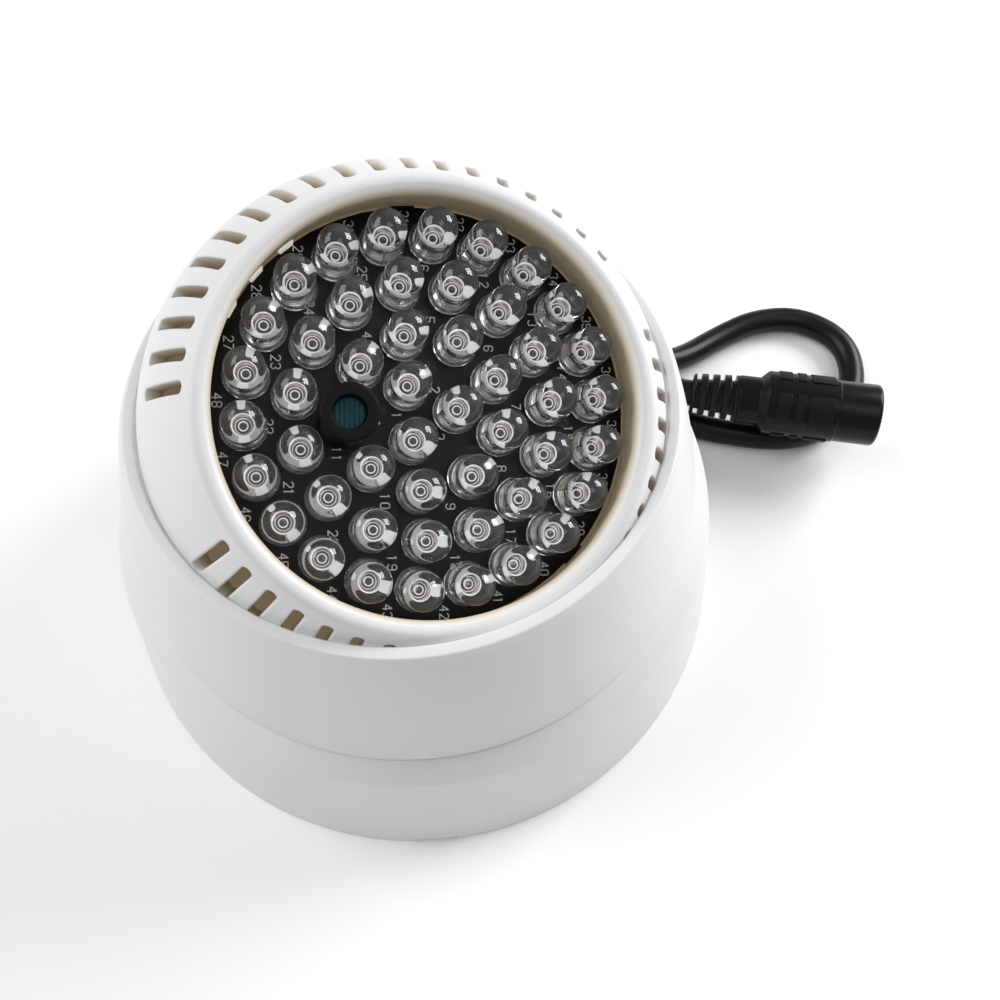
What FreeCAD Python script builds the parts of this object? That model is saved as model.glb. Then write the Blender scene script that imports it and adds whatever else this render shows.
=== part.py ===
import FreeCAD
import Part

import math
import os

from FreeCAD import Vector

# Infrared illuminator: a ball that carries 48 light-emitting diodes and a light sensor swivels
# in a round base, under a collar that twists on. A short lead ends in a socket for a barrel plug.
# Millimetres. The origin is the middle of the base's underside, +Z is up, and the ball leans
# towards -Y.

X_AXIS = Vector(1, 0, 0)
Z_AXIS = Vector(0, 0, 1)
ORIGIN = Vector(0, 0, 0)

# Ball: two moulded halves, in flats of a 48-sided ball so that its facets stay few, and of a
# 24-sided one at the back. The sizes of what holds it follow from its own.
BALL_R = 36.3
BALL_WALL = 2.2
BALL_CENTRE_Z = BALL_R + 5.7
BALL_LEAN = 27.0
BALL_CLEARANCE = 0.3
BALL_FLAT_COUNT = 48
REAR_FLAT_COUNT = 24
FIRST_SLOT_ANGLE = 17.55
FRONT_LATITUDE = 14.0
FRONT_INNER_LATITUDE = 15.0
PARTING_GAP = 0.15
OPENING_R = BALL_R * 0.7052
OPENING_ROUND = 1.4
TONGUE_H = 1.6
TONGUE_W = 0.9
TONGUE_CLEARANCE = 0.2
REAR_FLAT_LATITUDE = 80.0
REAR_LATITUDES = (60.0, 40.0, 20.0)
REAR_INNER_LATITUDES = (45.0, 70.0)

# Base: a flared bowl with a 45 degree shoulder, a recessed floor and a tower under the ball. Base
# and collar are in flats, so that their facets stay few.
BASE_TOP_R = BALL_R + 10.4
BASE_FOOT_R = BASE_TOP_R + 4.3
SHOULDER_H = 3.0
SEAM_DROP = 15.0
SEAM_Z = BALL_CENTRE_Z - SEAM_DROP
SHOULDER_Z = SEAM_Z - SHOULDER_H
BASE_WALL = 2.2
FLOOR_RECESS = 2.0
FLOOR_T = 2.0
FLANGE_W = 2.2
BASE_FLAT_COUNT = 40
TOWER_R = BALL_R - 0.3
TOWER_WALL = 2.0
TOWER_DROP = 22.0
TOWER_TOP_Z = BALL_CENTRE_Z - TOWER_DROP
RIM_NOTCH_ANGLE = -114.0
RIM_NOTCH_W = 6.7
RIM_NOTCH_H = 1.2
SCREW_HOLE_R = 2.1
SCREW_CIRCLE_R = TOWER_R + 4.0
SCREW_HOLE_COUNT = 3
SCREW_HOLE_ANGLE = 150.0

# Collar: twists on by three lugs that hook under the base's flange
COLLAR_MID_R = BALL_R + 4.9
COLLAR_MID_Z = BALL_CENTRE_Z - 2.8
COLLAR_LIP_R = BALL_R + 1.4
COLLAR_LIP_Z = BALL_CENTRE_Z + 8.4
COLLAR_TOP_Z = BALL_CENTRE_Z + 9.3
COLLAR_WALL = 2.2
COLLAR_GAP = 0.2
SKIRT_WALL = 1.8
SKIRT_LEN = 4.4
SKIRT_CLEARANCE = 0.4
LUG_COUNT = 3
LUG_ANGLE = 14.0
LUG_REACH = 1.4
LUG_T = 1.3
LUG_CLEARANCE = 0.3
LUG_MIDDLE_ANGLE = 84.0

# Vent slots: one in each flat, but for the two plain stretches over the shell screws
SLOT_INNER_LATITUDE = 37.3
SLOT_OUTER_LATITUDE = 20.5
SLOT_W = 2.1
SLOT_OVERCUT = 0.7
PLAIN_FLATS = (19, 20, 21, 22, 46, 47)

# Ball halves' screws and bosses
BOSS_R = 2.6
BOSS_RADIUS = BALL_R - 6.1
BOSS_TOP = 13.5
BOSS_ANGLES = (171.3, 6.3)
SHELL_SCREW_R = 1.0
SHELL_SCREW_HEAD_R = 2.1
SHELL_SCREW_HEAD_T = 1.6
SHELL_SCREW_REACH = 7.0
SCREW_SEAT_DEPTH = 6.0
SCREW_CLEARANCE = 0.2
SCREW_FIT = 0.05
SCREW_BOSS_WALL = 1.1

# Lamp board and what stands on its front. The opening's funnel holds the board down.
BOARD_R = OPENING_R + 1.2
BOARD_T = 1.6
BOARD_FACE_H = 14.2
BOARD_TAB_ANGLES = (71.0, 293.0)
BOARD_TAB_W = 3.0
BOARD_TAB_REACH = 0.7
BOARD_SEAT_GAP = 0.1
FUNNEL_CLEARANCE = 0.2
FUNNEL_T = 1.3
POST_W = 2.4
POST_RADIUS = 20.0
POST_ANGLES = (0.0, 90.0, 180.0, 270.0)
LED_R = 2.5
LED_FLANGE_R = 2.9
LED_FLANGE_T = 1.0
LED_H = 8.6
LED_DOME_H = 2.5
LED_SIDE_COUNT = 6
SENSOR_PLACE = 7
SENSOR_R = 2.0
SENSOR_H = 7.0
SLEEVE_R = 3.55
SLEEVE_H = 8.5
SLEEVE_CLEARANCE = 0.05

# Rings of lamps: how far each circle lies in from the board's edge, the lamps' spacing along it
# and the angle of the first lamp. Places that the sensor's sleeve takes up stay empty.
OUTER_RING = (4.469, 6.37, 79.17)
MIDDLE_RING = (10.569, 6.79, 77.11)
THIRD_RING = (16.829, 6.95, 81.35)
INNER_RING = (22.789, 8.3, 101.13)

# Board back: supply parts and the plug of the inner lead
RESISTOR_SIZE = (3.2, 1.6, 0.6)
RESISTOR_COUNT = 12
RESISTOR_RADIUS = 17.0
TRANSISTOR_SIZE = (6.5, 3.6, 1.7)
TRANSISTOR_PLACE = (-8.0, 6.0)
DIODE_SIZE = (4.6, 2.6, 2.2)
DIODE_PLACE = (8.0, 6.5)
HEADER_SIZE = (7.5, 5.8, 5.0)
HEADER_PLACE = (0.0, -7.0)
PLUG_SIZE = (6.6, 4.8, 5.5)
BOARD_WIRE_R = 0.65
BOARD_WIRE_PITCH = 2.0
BOARD_WIRE_DROP = 7.0

# Lead through the back of the ball and across the base's floor
PORT_R = 2.6
BUSH_CLEARANCE = 0.1
BUSH_FLANGE_R = 3.8
BUSH_FLANGE_T = 1.0
INNER_LEAD_R = 1.3
INNER_LEAD_GAP = 0.3
INNER_LEAD_RISE = 4.0
TOWER_SLOT_W = 4.0
TOWER_SLOT_H = 6.0

# Ring that the ball rests in, on top of the tower
SEAT_GAP = 0.2
SEAT_LOW = BALL_CENTRE_Z - TOWER_TOP_Z - SEAT_GAP
SEAT_HIGH = SEAT_LOW - 7.3
SEAT_SKIRT_W = 1.3
SEAT_SKIRT_H = 3.2
SEAT_SKIRT_CLEARANCE = 0.3
SEAT_FLAT_COUNT = 24

# Lead grommet in the base wall
CORD_ANGLE = 62.0
CORD_HOLE_Z = 9.0
CORD_HOLE_R = 3.5
GROMMET_CLEARANCE = 0.1
GROMMET_FLANGE_R = 4.6
GROMMET_FLANGE_T = 1.2
GROMMET_SEAT = 0.3
GROMMET_FACE_GAP = 0.05
GROMMET_LEN = 12.0
GROMMET_ROOT_R = 4.0
GROMMET_TIP_R = 3.2
CORD_R = 2.4

# Free lead: the corners of its route from the grommet to the socket's strain relief, which
# follow the grommet's end, each with its X counted from the base's foot radius. It lies on the
# ground, apart from its start and the end, where it climbs over itself to the socket.
CORD_CORNERS = (
    (-16.4, 65.0, 8.8), (-3.7, 68.0, 4.6), (7.0, 60.3, 2.4), (8.6, 45.5, 2.4),
    (7.2, 31.0, 2.4), (3.7, 18.5, 2.4), (2.0, 9.5, 2.4), (2.4, 0.9, 2.4),
    (14.5, -9.6, 2.4), (23.8, -14.2, 2.4), (33.3, -13.4, 2.4), (41.0, -7.6, 2.4),
    (44.4, 1.0, 2.4), (39.8, 9.6, 2.4), (31.0, 13.3, 2.4), (21.6, 13.1, 2.4),
    (12.6, 11.6, 3.6), (6.2, 11.6, 5.9), (3.4, 9.7, 7.8), (2.5, 6.5, 8.5),
    (3.3, 3.4, 9.1),
)
CORD_LEAD_OUT = 5.0
CORD_ARC_SHARE = 0.45
WIRE_ARC_SHARE = 0.2
CORD_SIDE_COUNT = 8
WIRE_SIDE_COUNT = 4
SMALL_SIDE_COUNT = 12

# Socket for a barrel plug, on the end of the lead: it lies on two strands of the lead
JACK_START = (BASE_FOOT_R + 6.0, 1.2, 9.4)
JACK_REACH = 31.8
JACK_END = (BASE_FOOT_R + JACK_REACH, -20.0, 12.3)
RELIEF_LEN = 8.4
RELIEF_START_R = 3.7
RELIEF_END_R = 4.3
RELIEF_SLOT_COUNT = 4
RELIEF_SLOT_W = 0.9
RELIEF_SLOT_DEPTH = 1.3
NECK_LEN = 3.8
NECK_R = 4.4
SHOULDER_LEN = 1.4
JACK_R = 5.8
GRIP_LEN = 13.6
BARREL_R = 5.6
JACK_BORE_R = 3.3
JACK_BORE_DEPTH = 11.0
JACK_BARS = ((1.0, 2.7), (4.6, 1.7), (7.4, 4.6))
JACK_BAR_H = 0.3
JACK_BAR_DEPTH = 0.7
JACK_BAR_ANGLES = (45.0, 135.0, 225.0, 315.0)
JACK_BAR_HALF_ANGLE = 30.0
SLEEVE_CONTACT_WALL = 0.35
SLEEVE_CONTACT_RECESS = 0.8
INSULATOR_T = 1.5
CENTRE_PIN_R = 1.05
CENTRE_PIN_RECESS = 1.6
CENTRE_PIN_TIP = 0.4
JACK_FIT = 0.05
JACK_SIDE_COUNT = 16

# Sizes that follow from those above
BALL_CENTRE = Vector(0, 0, BALL_CENTRE_Z)
BALL_INNER_R = BALL_R - BALL_WALL
CLEAR_BALL_R = BALL_R + BALL_CLEARANCE
SEAM_R = BASE_TOP_R - (SEAM_Z - SHOULDER_Z) + 0.1
FLANGE_R = SEAM_R - FLANGE_W
FLANGE_UNDER_Z = SEAM_Z - BASE_WALL
FLOOR_TOP_Z = FLOOR_RECESS + FLOOR_T
BASE_SLOPE = (BASE_FOOT_R - BASE_TOP_R) / SHOULDER_Z
SKIRT_R = FLANGE_R - SKIRT_CLEARANCE
BOARD_BACK_H = BOARD_FACE_H - BOARD_T


def base_radius(z):
    """Outer radius of the base's flared wall at height z."""
    return BASE_FOOT_R - BASE_SLOPE * z


def polar(radius, angle, z=0.0):
    """Point at a radius and an angle in degrees."""
    turn = math.radians(angle)
    return Vector(radius * math.cos(turn), radius * math.sin(turn), z)


def latitude(radius, degrees):
    """Radius and height of a circle of latitude on a ball."""
    turn = math.radians(degrees)
    return (radius * math.cos(turn), radius * math.sin(turn))


def faceted(rings, sides, phase=0.0, closed=False):
    """Solid whose faces are flats between rings of (radius, height).

    A closed one is a hoop whose last ring joins its first; otherwise the first and last rings
    are covered. A ring of no radius is a point.
    """
    angles = [phase + 360.0 * k / sides for k in range(sides)]
    corners = [[polar(r, a, z) for a in angles] for r, z in rings]
    pairs = list(zip(corners, corners[1:]))
    faces = []
    if closed:
        pairs.append((corners[-1], corners[0]))
    else:
        for ring, (radius, _) in ((corners[0], rings[0]), (corners[-1], rings[-1])):
            if radius > 0:
                faces.append(Part.Face(Part.makePolygon(ring + ring[:1])))
    for low, high in pairs:
        for k in range(sides):
            n = (k + 1) % sides
            quad = [low[k], low[n], high[n], high[k]]
            quad = [p for i, p in enumerate(quad) if (p - quad[i - 1]).Length > 1e-9]
            faces.append(Part.Face(Part.makePolygon(quad + quad[:1])))
    shell = Part.Shell(faces)
    shell.sewShape()
    solid = Part.Solid(shell)
    if solid.Volume < 0:
        solid.reverse()
    return solid


def block(size, centre, low):
    """Box of a size, centred on a point in plan and standing on a height."""
    return Part.makeBox(*size, Vector(centre[0] - size[0] / 2, centre[1] - size[1] / 2, low))


def sector(inner, outer, low, high, middle, width):
    """Piece of a ring between two radii and two heights, some degrees wide."""
    profile = [Vector(inner, 0, low), Vector(outer, 0, low), Vector(outer, 0, high), Vector(inner, 0, high)]
    piece = Part.Face(Part.makePolygon(profile + profile[:1])).revolve(ORIGIN, Z_AXIS, width)
    piece.rotate(ORIGIN, Z_AXIS, middle - width / 2)
    return piece


def round_bar(radius, low, high, place=ORIGIN, sides=SMALL_SIDE_COUNT):
    """Upright round bar in flats, over a point in plan, between two heights."""
    bar = faceted([(radius, low), (radius, high)], sides)
    bar.translate(Vector(place.x, place.y, 0))
    return bar


def tube(points, radius, sides, share=CORD_ARC_SHARE):
    """Tube in flats along straight runs joined by tangent arcs: the tube, its volume as a share
    of section times length, its length and the radii of its arcs. The flats touch the radius.
    """
    path = [Vector(*p) for p in points]
    edges, radii, here = [], [], path[0]
    for before, corner, after in zip(path, path[1:], path[2:]):
        back = before - corner
        onward = after - corner
        reach = share * min(back.Length, onward.Length)
        half_turn = (math.pi - back.getAngle(onward)) / 2
        start = corner + back.normalize() * reach
        end = corner + onward.normalize() * reach
        inward = (back + onward).normalize()
        arc_r = reach / math.tan(half_turn)
        middle = corner + inward * (arc_r / math.cos(half_turn) - arc_r)
        edges.append(Part.makeLine(here, start))
        edges.append(Part.Arc(start, middle, end).toShape())
        radii.append(arc_r)
        here = end
    edges.append(Part.makeLine(here, path[-1]))
    wire = Part.Wire(edges)
    ahead = (path[1] - path[0]).normalize()
    side = ahead.cross(Z_AXIS if abs(ahead.z) < 0.9 else X_AXIS).normalize()
    over = side.cross(ahead)
    turns = [math.pi * (2 * k + 1) / sides for k in range(sides)]
    reach = radius / math.cos(math.pi / sides)
    corners = [path[0] + side * (reach * math.cos(t)) + over * (reach * math.sin(t)) for t in turns]
    section = Part.makePolygon(corners + corners[:1])
    solid = wire.makePipeShell([section], True, False)
    ideal = Part.Face(section).Area * wire.Length
    return solid, solid.Volume / ideal, wire.Length, radii


def on_ball(shape):
    """Turn a shape from the ball's own frame, whose Z is the way it faces, into its place."""
    shape.rotate(ORIGIN, X_AXIS, BALL_LEAN)
    shape.translate(BALL_CENTRE)
    return shape


def make_base_shell():
    """Flared bowl, flange for the collar's lugs, recessed floor and slotted tower."""
    shoulder = SHOULDER_Z + BASE_TOP_R - BASE_WALL * math.sqrt(2)
    under_r = shoulder - FLANGE_UNDER_Z
    wall_top_r = (BASE_TOP_R - BASE_WALL) + 0.1
    rings = [
        (base_radius(0) - BASE_WALL, FLOOR_RECESS), (base_radius(0) - BASE_WALL, 0), (BASE_FOOT_R, 0),
        (BASE_TOP_R, SHOULDER_Z), (SEAM_R, SEAM_Z), (FLANGE_R, SEAM_Z), (FLANGE_R, FLANGE_UNDER_Z),
        (under_r, FLANGE_UNDER_Z), (wall_top_r, shoulder - wall_top_r),
        (base_radius(FLOOR_TOP_Z) - BASE_WALL, FLOOR_TOP_Z), (TOWER_R, FLOOR_TOP_Z), (TOWER_R, TOWER_TOP_Z),
        (TOWER_R - TOWER_WALL, TOWER_TOP_Z), (TOWER_R - TOWER_WALL, FLOOR_TOP_Z)]
    shell = faceted(rings, BASE_FLAT_COUNT)
    cuts = []
    gap_r = SKIRT_R + LUG_REACH + LUG_CLEARANCE
    for k in range(LUG_COUNT):
        angle = LUG_MIDDLE_ANGLE + LUG_ANGLE + 4.0 + 360.0 * k / LUG_COUNT
        cuts.append(sector(FLANGE_R - 1, gap_r, FLANGE_UNDER_Z - 0.1, SEAM_Z + 1, angle, LUG_ANGLE + 2))
    for k in range(SCREW_HOLE_COUNT):
        place = polar(SCREW_CIRCLE_R, SCREW_HOLE_ANGLE + 360.0 * k / SCREW_HOLE_COUNT)
        cuts.append(Part.makeCylinder(SCREW_HOLE_R, FLOOR_TOP_Z + 1, place))
    notch = Part.makeBox(2 * BASE_WALL + 4, RIM_NOTCH_W, RIM_NOTCH_H + 1,
                         Vector(BASE_FOOT_R - 2 * BASE_WALL, -RIM_NOTCH_W / 2, -1))
    notch.rotate(ORIGIN, Z_AXIS, RIM_NOTCH_ANGLE)
    cuts.append(notch)
    slot = Part.makeBox(TOWER_WALL + 2, TOWER_SLOT_W, TOWER_SLOT_H,
                        Vector(TOWER_R - TOWER_WALL - 1, -TOWER_SLOT_W / 2, FLOOR_TOP_Z))
    slot.rotate(ORIGIN, Z_AXIS, CORD_ANGLE)
    cuts.append(slot)
    cuts.append(in_wall(round_bar(CORD_HOLE_R, -2 * BASE_WALL, 2 * BASE_WALL)))
    return shell.cut(cuts)


def in_wall(shape):
    """Move a shape whose Z is the lead's way out to the lead hole, square to the sloping wall."""
    tilt = math.degrees(math.atan(BASE_SLOPE))
    shape.rotate(ORIGIN, Vector(0, 1, 0), 90 - tilt)
    shape.translate(Vector(base_radius(CORD_HOLE_Z), 0, CORD_HOLE_Z))
    shape.rotate(ORIGIN, Z_AXIS, CORD_ANGLE)
    return shape


def wall_point(distance):
    """Point on the lead hole's axis, a distance outside the wall."""
    spot = Part.Vertex(0, 0, distance)
    return in_wall(spot).Point


def make_collar_ring():
    """Domed collar with a skirt that drops into the base's flange, and three lugs."""
    low = SEAM_Z + COLLAR_GAP
    foot = SEAM_Z - SKIRT_LEN
    lip_r = math.sqrt(CLEAR_BALL_R ** 2 - (COLLAR_TOP_Z - BALL_CENTRE_Z) ** 2)
    rings = [
        (SEAM_R, low), (COLLAR_MID_R, COLLAR_MID_Z), (COLLAR_LIP_R, COLLAR_LIP_Z),
        (COLLAR_LIP_R - 0.7, COLLAR_TOP_Z), (lip_r, COLLAR_TOP_Z),
        (lip_r + 1.1, COLLAR_TOP_Z - 4.8), (SEAM_R - COLLAR_WALL - 0.6, low + 3.0),
        (SKIRT_R - SKIRT_WALL, low + 1.7), (SKIRT_R - SKIRT_WALL, foot), (SKIRT_R, foot), (SKIRT_R, low)]
    ring = faceted(rings, BASE_FLAT_COUNT, closed=True)
    lug_top = FLANGE_UNDER_Z - LUG_CLEARANCE
    lugs = [sector(SKIRT_R - 0.5, SKIRT_R + LUG_REACH, lug_top - LUG_T, lug_top,
                   LUG_MIDDLE_ANGLE + 360.0 * k / LUG_COUNT, LUG_ANGLE) for k in range(LUG_COUNT)]
    return ring.fuse(lugs)


def make_seat_ring():
    """Ring with a hollow cone that follows the ball, on the tower, with a skirt around it.

    Its flats, not their corners, keep the clearances.
    """
    low_r = math.sqrt(CLEAR_BALL_R ** 2 - SEAT_LOW ** 2)
    high_r = math.sqrt(CLEAR_BALL_R ** 2 - SEAT_HIGH ** 2)
    foot_z = TOWER_TOP_Z + SEAT_GAP
    top_z = BALL_CENTRE_Z - SEAT_HIGH
    mid = (SEAT_LOW + SEAT_HIGH) / 2
    mid_r = math.sqrt(CLEAR_BALL_R ** 2 - mid ** 2) + 0.1
    skirt_r = TOWER_R + SEAT_SKIRT_CLEARANCE
    rings = [(low_r, foot_z), (mid_r, BALL_CENTRE_Z - mid), (high_r, top_z), (skirt_r + SEAT_SKIRT_W, top_z),
             (skirt_r + SEAT_SKIRT_W, foot_z - SEAT_SKIRT_H), (skirt_r, foot_z - SEAT_SKIRT_H), (skirt_r, foot_z)]
    outward = 1 / math.cos(math.pi / SEAT_FLAT_COUNT)
    return faceted([(r * outward, z) for r, z in rings], SEAT_FLAT_COUNT, closed=True)


def make_ball_front_shell():
    """Front half of the ball: round-lipped opening with a funnel to the board, slots and bosses."""
    phase = FIRST_SLOT_ANGLE + 180.0 / BALL_FLAT_COUNT
    round_r = OPENING_R + OPENING_ROUND
    round_h = math.sqrt((BALL_R - OPENING_ROUND) ** 2 - round_r ** 2)
    tangent = math.degrees(math.atan2(round_h, round_r))
    slot_middle = (SLOT_INNER_LATITUDE + SLOT_OUTER_LATITUDE) / 2
    low = math.degrees(math.asin(PARTING_GAP / BALL_R))
    rings = [latitude(BALL_R, a) for a in (low, FRONT_LATITUDE, slot_middle)]
    for angle in (tangent, 85, 130, 175):
        r, h = latitude(OPENING_ROUND, angle)
        rings.append((round_r + r, round_h + h))
    funnel_r = BOARD_R + FUNNEL_CLEARANCE
    funnel_h = BOARD_FACE_H + BOARD_SEAT_GAP
    edge = math.degrees(math.acos((funnel_r + FUNNEL_T - 0.4) / BALL_INNER_R))
    rings += [(funnel_r, funnel_h), (funnel_r + FUNNEL_T, funnel_h)]
    rings += [latitude(BALL_INNER_R, a) for a in (edge, FRONT_INNER_LATITUDE)]
    rings.append((math.sqrt(BALL_INNER_R ** 2 - PARTING_GAP ** 2), PARTING_GAP))
    shell = faceted(rings, BALL_FLAT_COUNT, phase, closed=True)
    half_len = BALL_R * math.radians(SLOT_INNER_LATITUDE - SLOT_OUTER_LATITUDE) / 2
    depth = BALL_WALL + 2 * SLOT_OVERCUT
    cutter = block((2 * half_len, SLOT_W, depth), (0, 0), BALL_INNER_R - SLOT_OVERCUT)
    cutter.rotate(ORIGIN, Vector(0, 1, 0), 90 - slot_middle)
    cuts = []
    for k in range(BALL_FLAT_COUNT):
        if k not in PLAIN_FLATS:
            slot = cutter.copy()
            slot.rotate(ORIGIN, Z_AXIS, FIRST_SLOT_ANGLE + 360.0 * k / BALL_FLAT_COUNT)
            cuts.append(slot)
    shell = shell.cut(Part.makeCompound(cuts))
    bosses = [round_bar(BOSS_R, PARTING_GAP, BOSS_TOP, polar(BOSS_RADIUS, a)) for a in BOSS_ANGLES]
    holes = [round_bar(SHELL_SCREW_R + SCREW_FIT, 0, SHELL_SCREW_REACH + 1, polar(BOSS_RADIUS, a))
             for a in BOSS_ANGLES]
    return on_ball(shell.fuse(bosses).cut(holes))


def make_ball_rear_shell():
    """Rear half of the ball: tongue into the front half, board posts, screw bosses and lead port."""
    phase = FIRST_SLOT_ANGLE + 180.0 / BALL_FLAT_COUNT
    outer = [latitude(BALL_R, -a) for a in (REAR_FLAT_LATITUDE, *REAR_LATITUDES, 0)]
    tongue_r = BALL_INNER_R - TONGUE_CLEARANCE
    bore_r = tongue_r - TONGUE_W
    start = math.degrees(math.acos(bore_r / BALL_INNER_R))
    inner = [latitude(BALL_INNER_R, -a) for a in (start, *REAR_INNER_LATITUDES)]
    rings = outer + [(tongue_r, 0), (tongue_r, TONGUE_H), (bore_r, TONGUE_H)] + inner
    shell = faceted(rings, REAR_FLAT_COUNT, phase)
    envelope = faceted(outer, REAR_FLAT_COUNT, phase)
    boss_r = SHELL_SCREW_HEAD_R + SCREW_CLEARANCE + SCREW_BOSS_WALL
    adds, cuts = [], []
    for angle in BOSS_ANGLES:
        place = polar(BOSS_RADIUS, angle)
        adds.append(round_bar(boss_r, -BALL_R, 0, place).common(envelope))
        cuts.append(round_bar(SHELL_SCREW_HEAD_R + SCREW_CLEARANCE, -BALL_R, -SCREW_SEAT_DEPTH, place))
        cuts.append(round_bar(SHELL_SCREW_R + SCREW_CLEARANCE, -BALL_R / 2, TONGUE_H + 1, place))
    foot = -math.sqrt(BALL_INNER_R ** 2 - POST_RADIUS ** 2) - BALL_WALL / 3
    for angle in POST_ANGLES:
        height = BOARD_BACK_H - BOARD_SEAT_GAP - foot
        post = block((POST_W, POST_W, height), (POST_RADIUS, 0), foot)
        post.rotate(ORIGIN, Z_AXIS, angle)
        adds.append(post)
    cuts.append(round_bar(PORT_R, -BALL_R - 1, -BALL_R / 2))
    return on_ball(shell.fuse(adds).cut(cuts))


def make_shell_screws():
    """Two pan-head screws that hold the ball's halves together."""
    screws = []
    for angle in BOSS_ANGLES:
        screw = faceted([(SHELL_SCREW_HEAD_R, -SCREW_SEAT_DEPTH - SHELL_SCREW_HEAD_T),
                         (SHELL_SCREW_HEAD_R, -SCREW_SEAT_DEPTH), (SHELL_SCREW_R, -SCREW_SEAT_DEPTH),
                         (SHELL_SCREW_R, SHELL_SCREW_REACH)], SMALL_SIDE_COUNT)
        screw.translate(polar(BOSS_RADIUS, angle))
        screws.append(screw)
    return on_ball(Part.makeCompound(screws))


def make_led_board():
    """Round board with two small locating tabs on its edge."""
    board = round_bar(BOARD_R, BOARD_BACK_H, BOARD_FACE_H, sides=BALL_FLAT_COUNT)
    for angle in BOARD_TAB_ANGLES:
        tab = block((4, BOARD_TAB_W, BOARD_T), (BOARD_R + BOARD_TAB_REACH - 2, 0), BOARD_BACK_H)
        tab.rotate(ORIGIN, Z_AXIS, angle)
        board = board.fuse(tab)
    return on_ball(board)


def make_led(radius, angle):
    """One lamp: flange, body and dome, in flats, standing on the board."""
    dome_low = LED_H - LED_DOME_H
    rings = [(LED_FLANGE_R, 0), (LED_FLANGE_R, LED_FLANGE_T), (LED_R, LED_FLANGE_T), (LED_R, dome_low),
             (LED_R * 0.7, dome_low + LED_DOME_H * 0.7), (0, LED_H)]
    lamp = faceted(rings, LED_SIDE_COUNT, angle + 180.0 / LED_SIDE_COUNT)
    lamp.translate(polar(radius, angle, BOARD_FACE_H))
    return lamp


def ring_places(ring):
    """Radius and angle of each place of a ring, as many as its circle holds at the spacing."""
    inset, spacing, first = ring
    radius = BOARD_R - inset
    count = int(2 * math.pi * radius / spacing)
    return [(radius, first - 360.0 * k / count) for k in range(count)]


def sensor_place():
    """Where the light sensor stands, at a place of the third ring."""
    places = ring_places(THIRD_RING)
    return polar(*places[SENSOR_PLACE % len(places)])


def make_led_ring(ring):
    """Evenly spaced lamps on a circle, as separate solids, clear of the sensor's sleeve."""
    reach = SLEEVE_R + LED_FLANGE_R
    places = [p for p in ring_places(ring) if (polar(*p) - sensor_place()).Length > reach]
    return on_ball(Part.makeCompound([make_led(*p) for p in places]))


def make_light_sensor():
    """Round light sensor on its legs' block."""
    return on_ball(round_bar(SENSOR_R, BOARD_FACE_H, BOARD_FACE_H + SENSOR_H, sensor_place()))


def make_sensor_sleeve():
    """Dark tube that keeps the lamps' light out of the sensor."""
    bore_r = SENSOR_R + SLEEVE_CLEARANCE
    top = BOARD_FACE_H + SLEEVE_H
    rings = [(bore_r, BOARD_FACE_H), (bore_r, top), (SLEEVE_R, top), (SLEEVE_R, BOARD_FACE_H)]
    sleeve = faceted(rings, SMALL_SIDE_COUNT, closed=True)
    sleeve.translate(sensor_place())
    return on_ball(sleeve)


def make_board_resistors():
    """Chip resistors in a circle on the board's back."""
    chips = []
    for k in range(RESISTOR_COUNT):
        chip = block(RESISTOR_SIZE, (RESISTOR_RADIUS, 0), BOARD_BACK_H - RESISTOR_SIZE[2])
        chip.rotate(ORIGIN, Z_AXIS, 360.0 * (k + 0.5) / RESISTOR_COUNT)
        chips.append(chip)
    return on_ball(Part.makeCompound(chips))


def make_back_part(size, place, below=0.0):
    """Box-shaped part that hangs from the board's back, or from another part there."""
    return on_ball(block(size, place, BOARD_BACK_H - below - size[2]))


def plug_bottom():
    """Height of the face of the plug that its wires leave."""
    return BOARD_BACK_H - HEADER_SIZE[2] - PLUG_SIZE[2]


def bush_top():
    """Height of the inner face of the bush in the ball's lead port."""
    return latitude(BALL_INNER_R, -REAR_INNER_LATITUDES[-1])[1] + BUSH_FLANGE_T


def make_board_wires():
    """Two wires from the plug on the board's back to the bush in the ball's back."""
    wires = []
    for side in (-1, 1):
        x = side * BOARD_WIRE_PITCH / 2
        top = (x, HEADER_PLACE[1], plug_bottom())
        points = (top, (x, HEADER_PLACE[1], plug_bottom() - BOARD_WIRE_DROP),
                  (x, 0, bush_top() + BOARD_WIRE_DROP), (x, 0, bush_top()))
        wires.append(tube(points, BOARD_WIRE_R, WIRE_SIDE_COUNT, WIRE_ARC_SHARE)[0])
    return on_ball(Part.makeCompound(wires))


def make_lead_bush():
    """Rubber bush in the ball's lead port, with a flange inside the ball."""
    flat_h = latitude(BALL_R, -REAR_FLAT_LATITUDE)[1]
    floor_h = bush_top() - BUSH_FLANGE_T
    stem_r = PORT_R - BUSH_CLEARANCE
    rings = [(stem_r, flat_h), (stem_r, floor_h), (BUSH_FLANGE_R, floor_h), (BUSH_FLANGE_R, bush_top())]
    return on_ball(faceted(rings, SMALL_SIDE_COUNT))


def make_inner_lead():
    """Lead from the grommet, through the tower's slot, up to the ball's lead port."""
    port = on_ball(Part.Vertex(0, 0, -BALL_R - INNER_LEAD_GAP)).Point
    below = on_ball(Part.Vertex(0, 0, -BALL_R - INNER_LEAD_GAP - INNER_LEAD_RISE)).Point
    inner_face = wall_point(-BASE_WALL - GROMMET_FLANGE_T)
    points = [inner_face, polar(TOWER_R + 3.0, CORD_ANGLE, below.z + 1.2),
              polar(TOWER_R - 7.0, CORD_ANGLE, below.z), below, port]
    return tube(points, INNER_LEAD_R, WIRE_SIDE_COUNT, WIRE_ARC_SHARE)[0]


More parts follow.
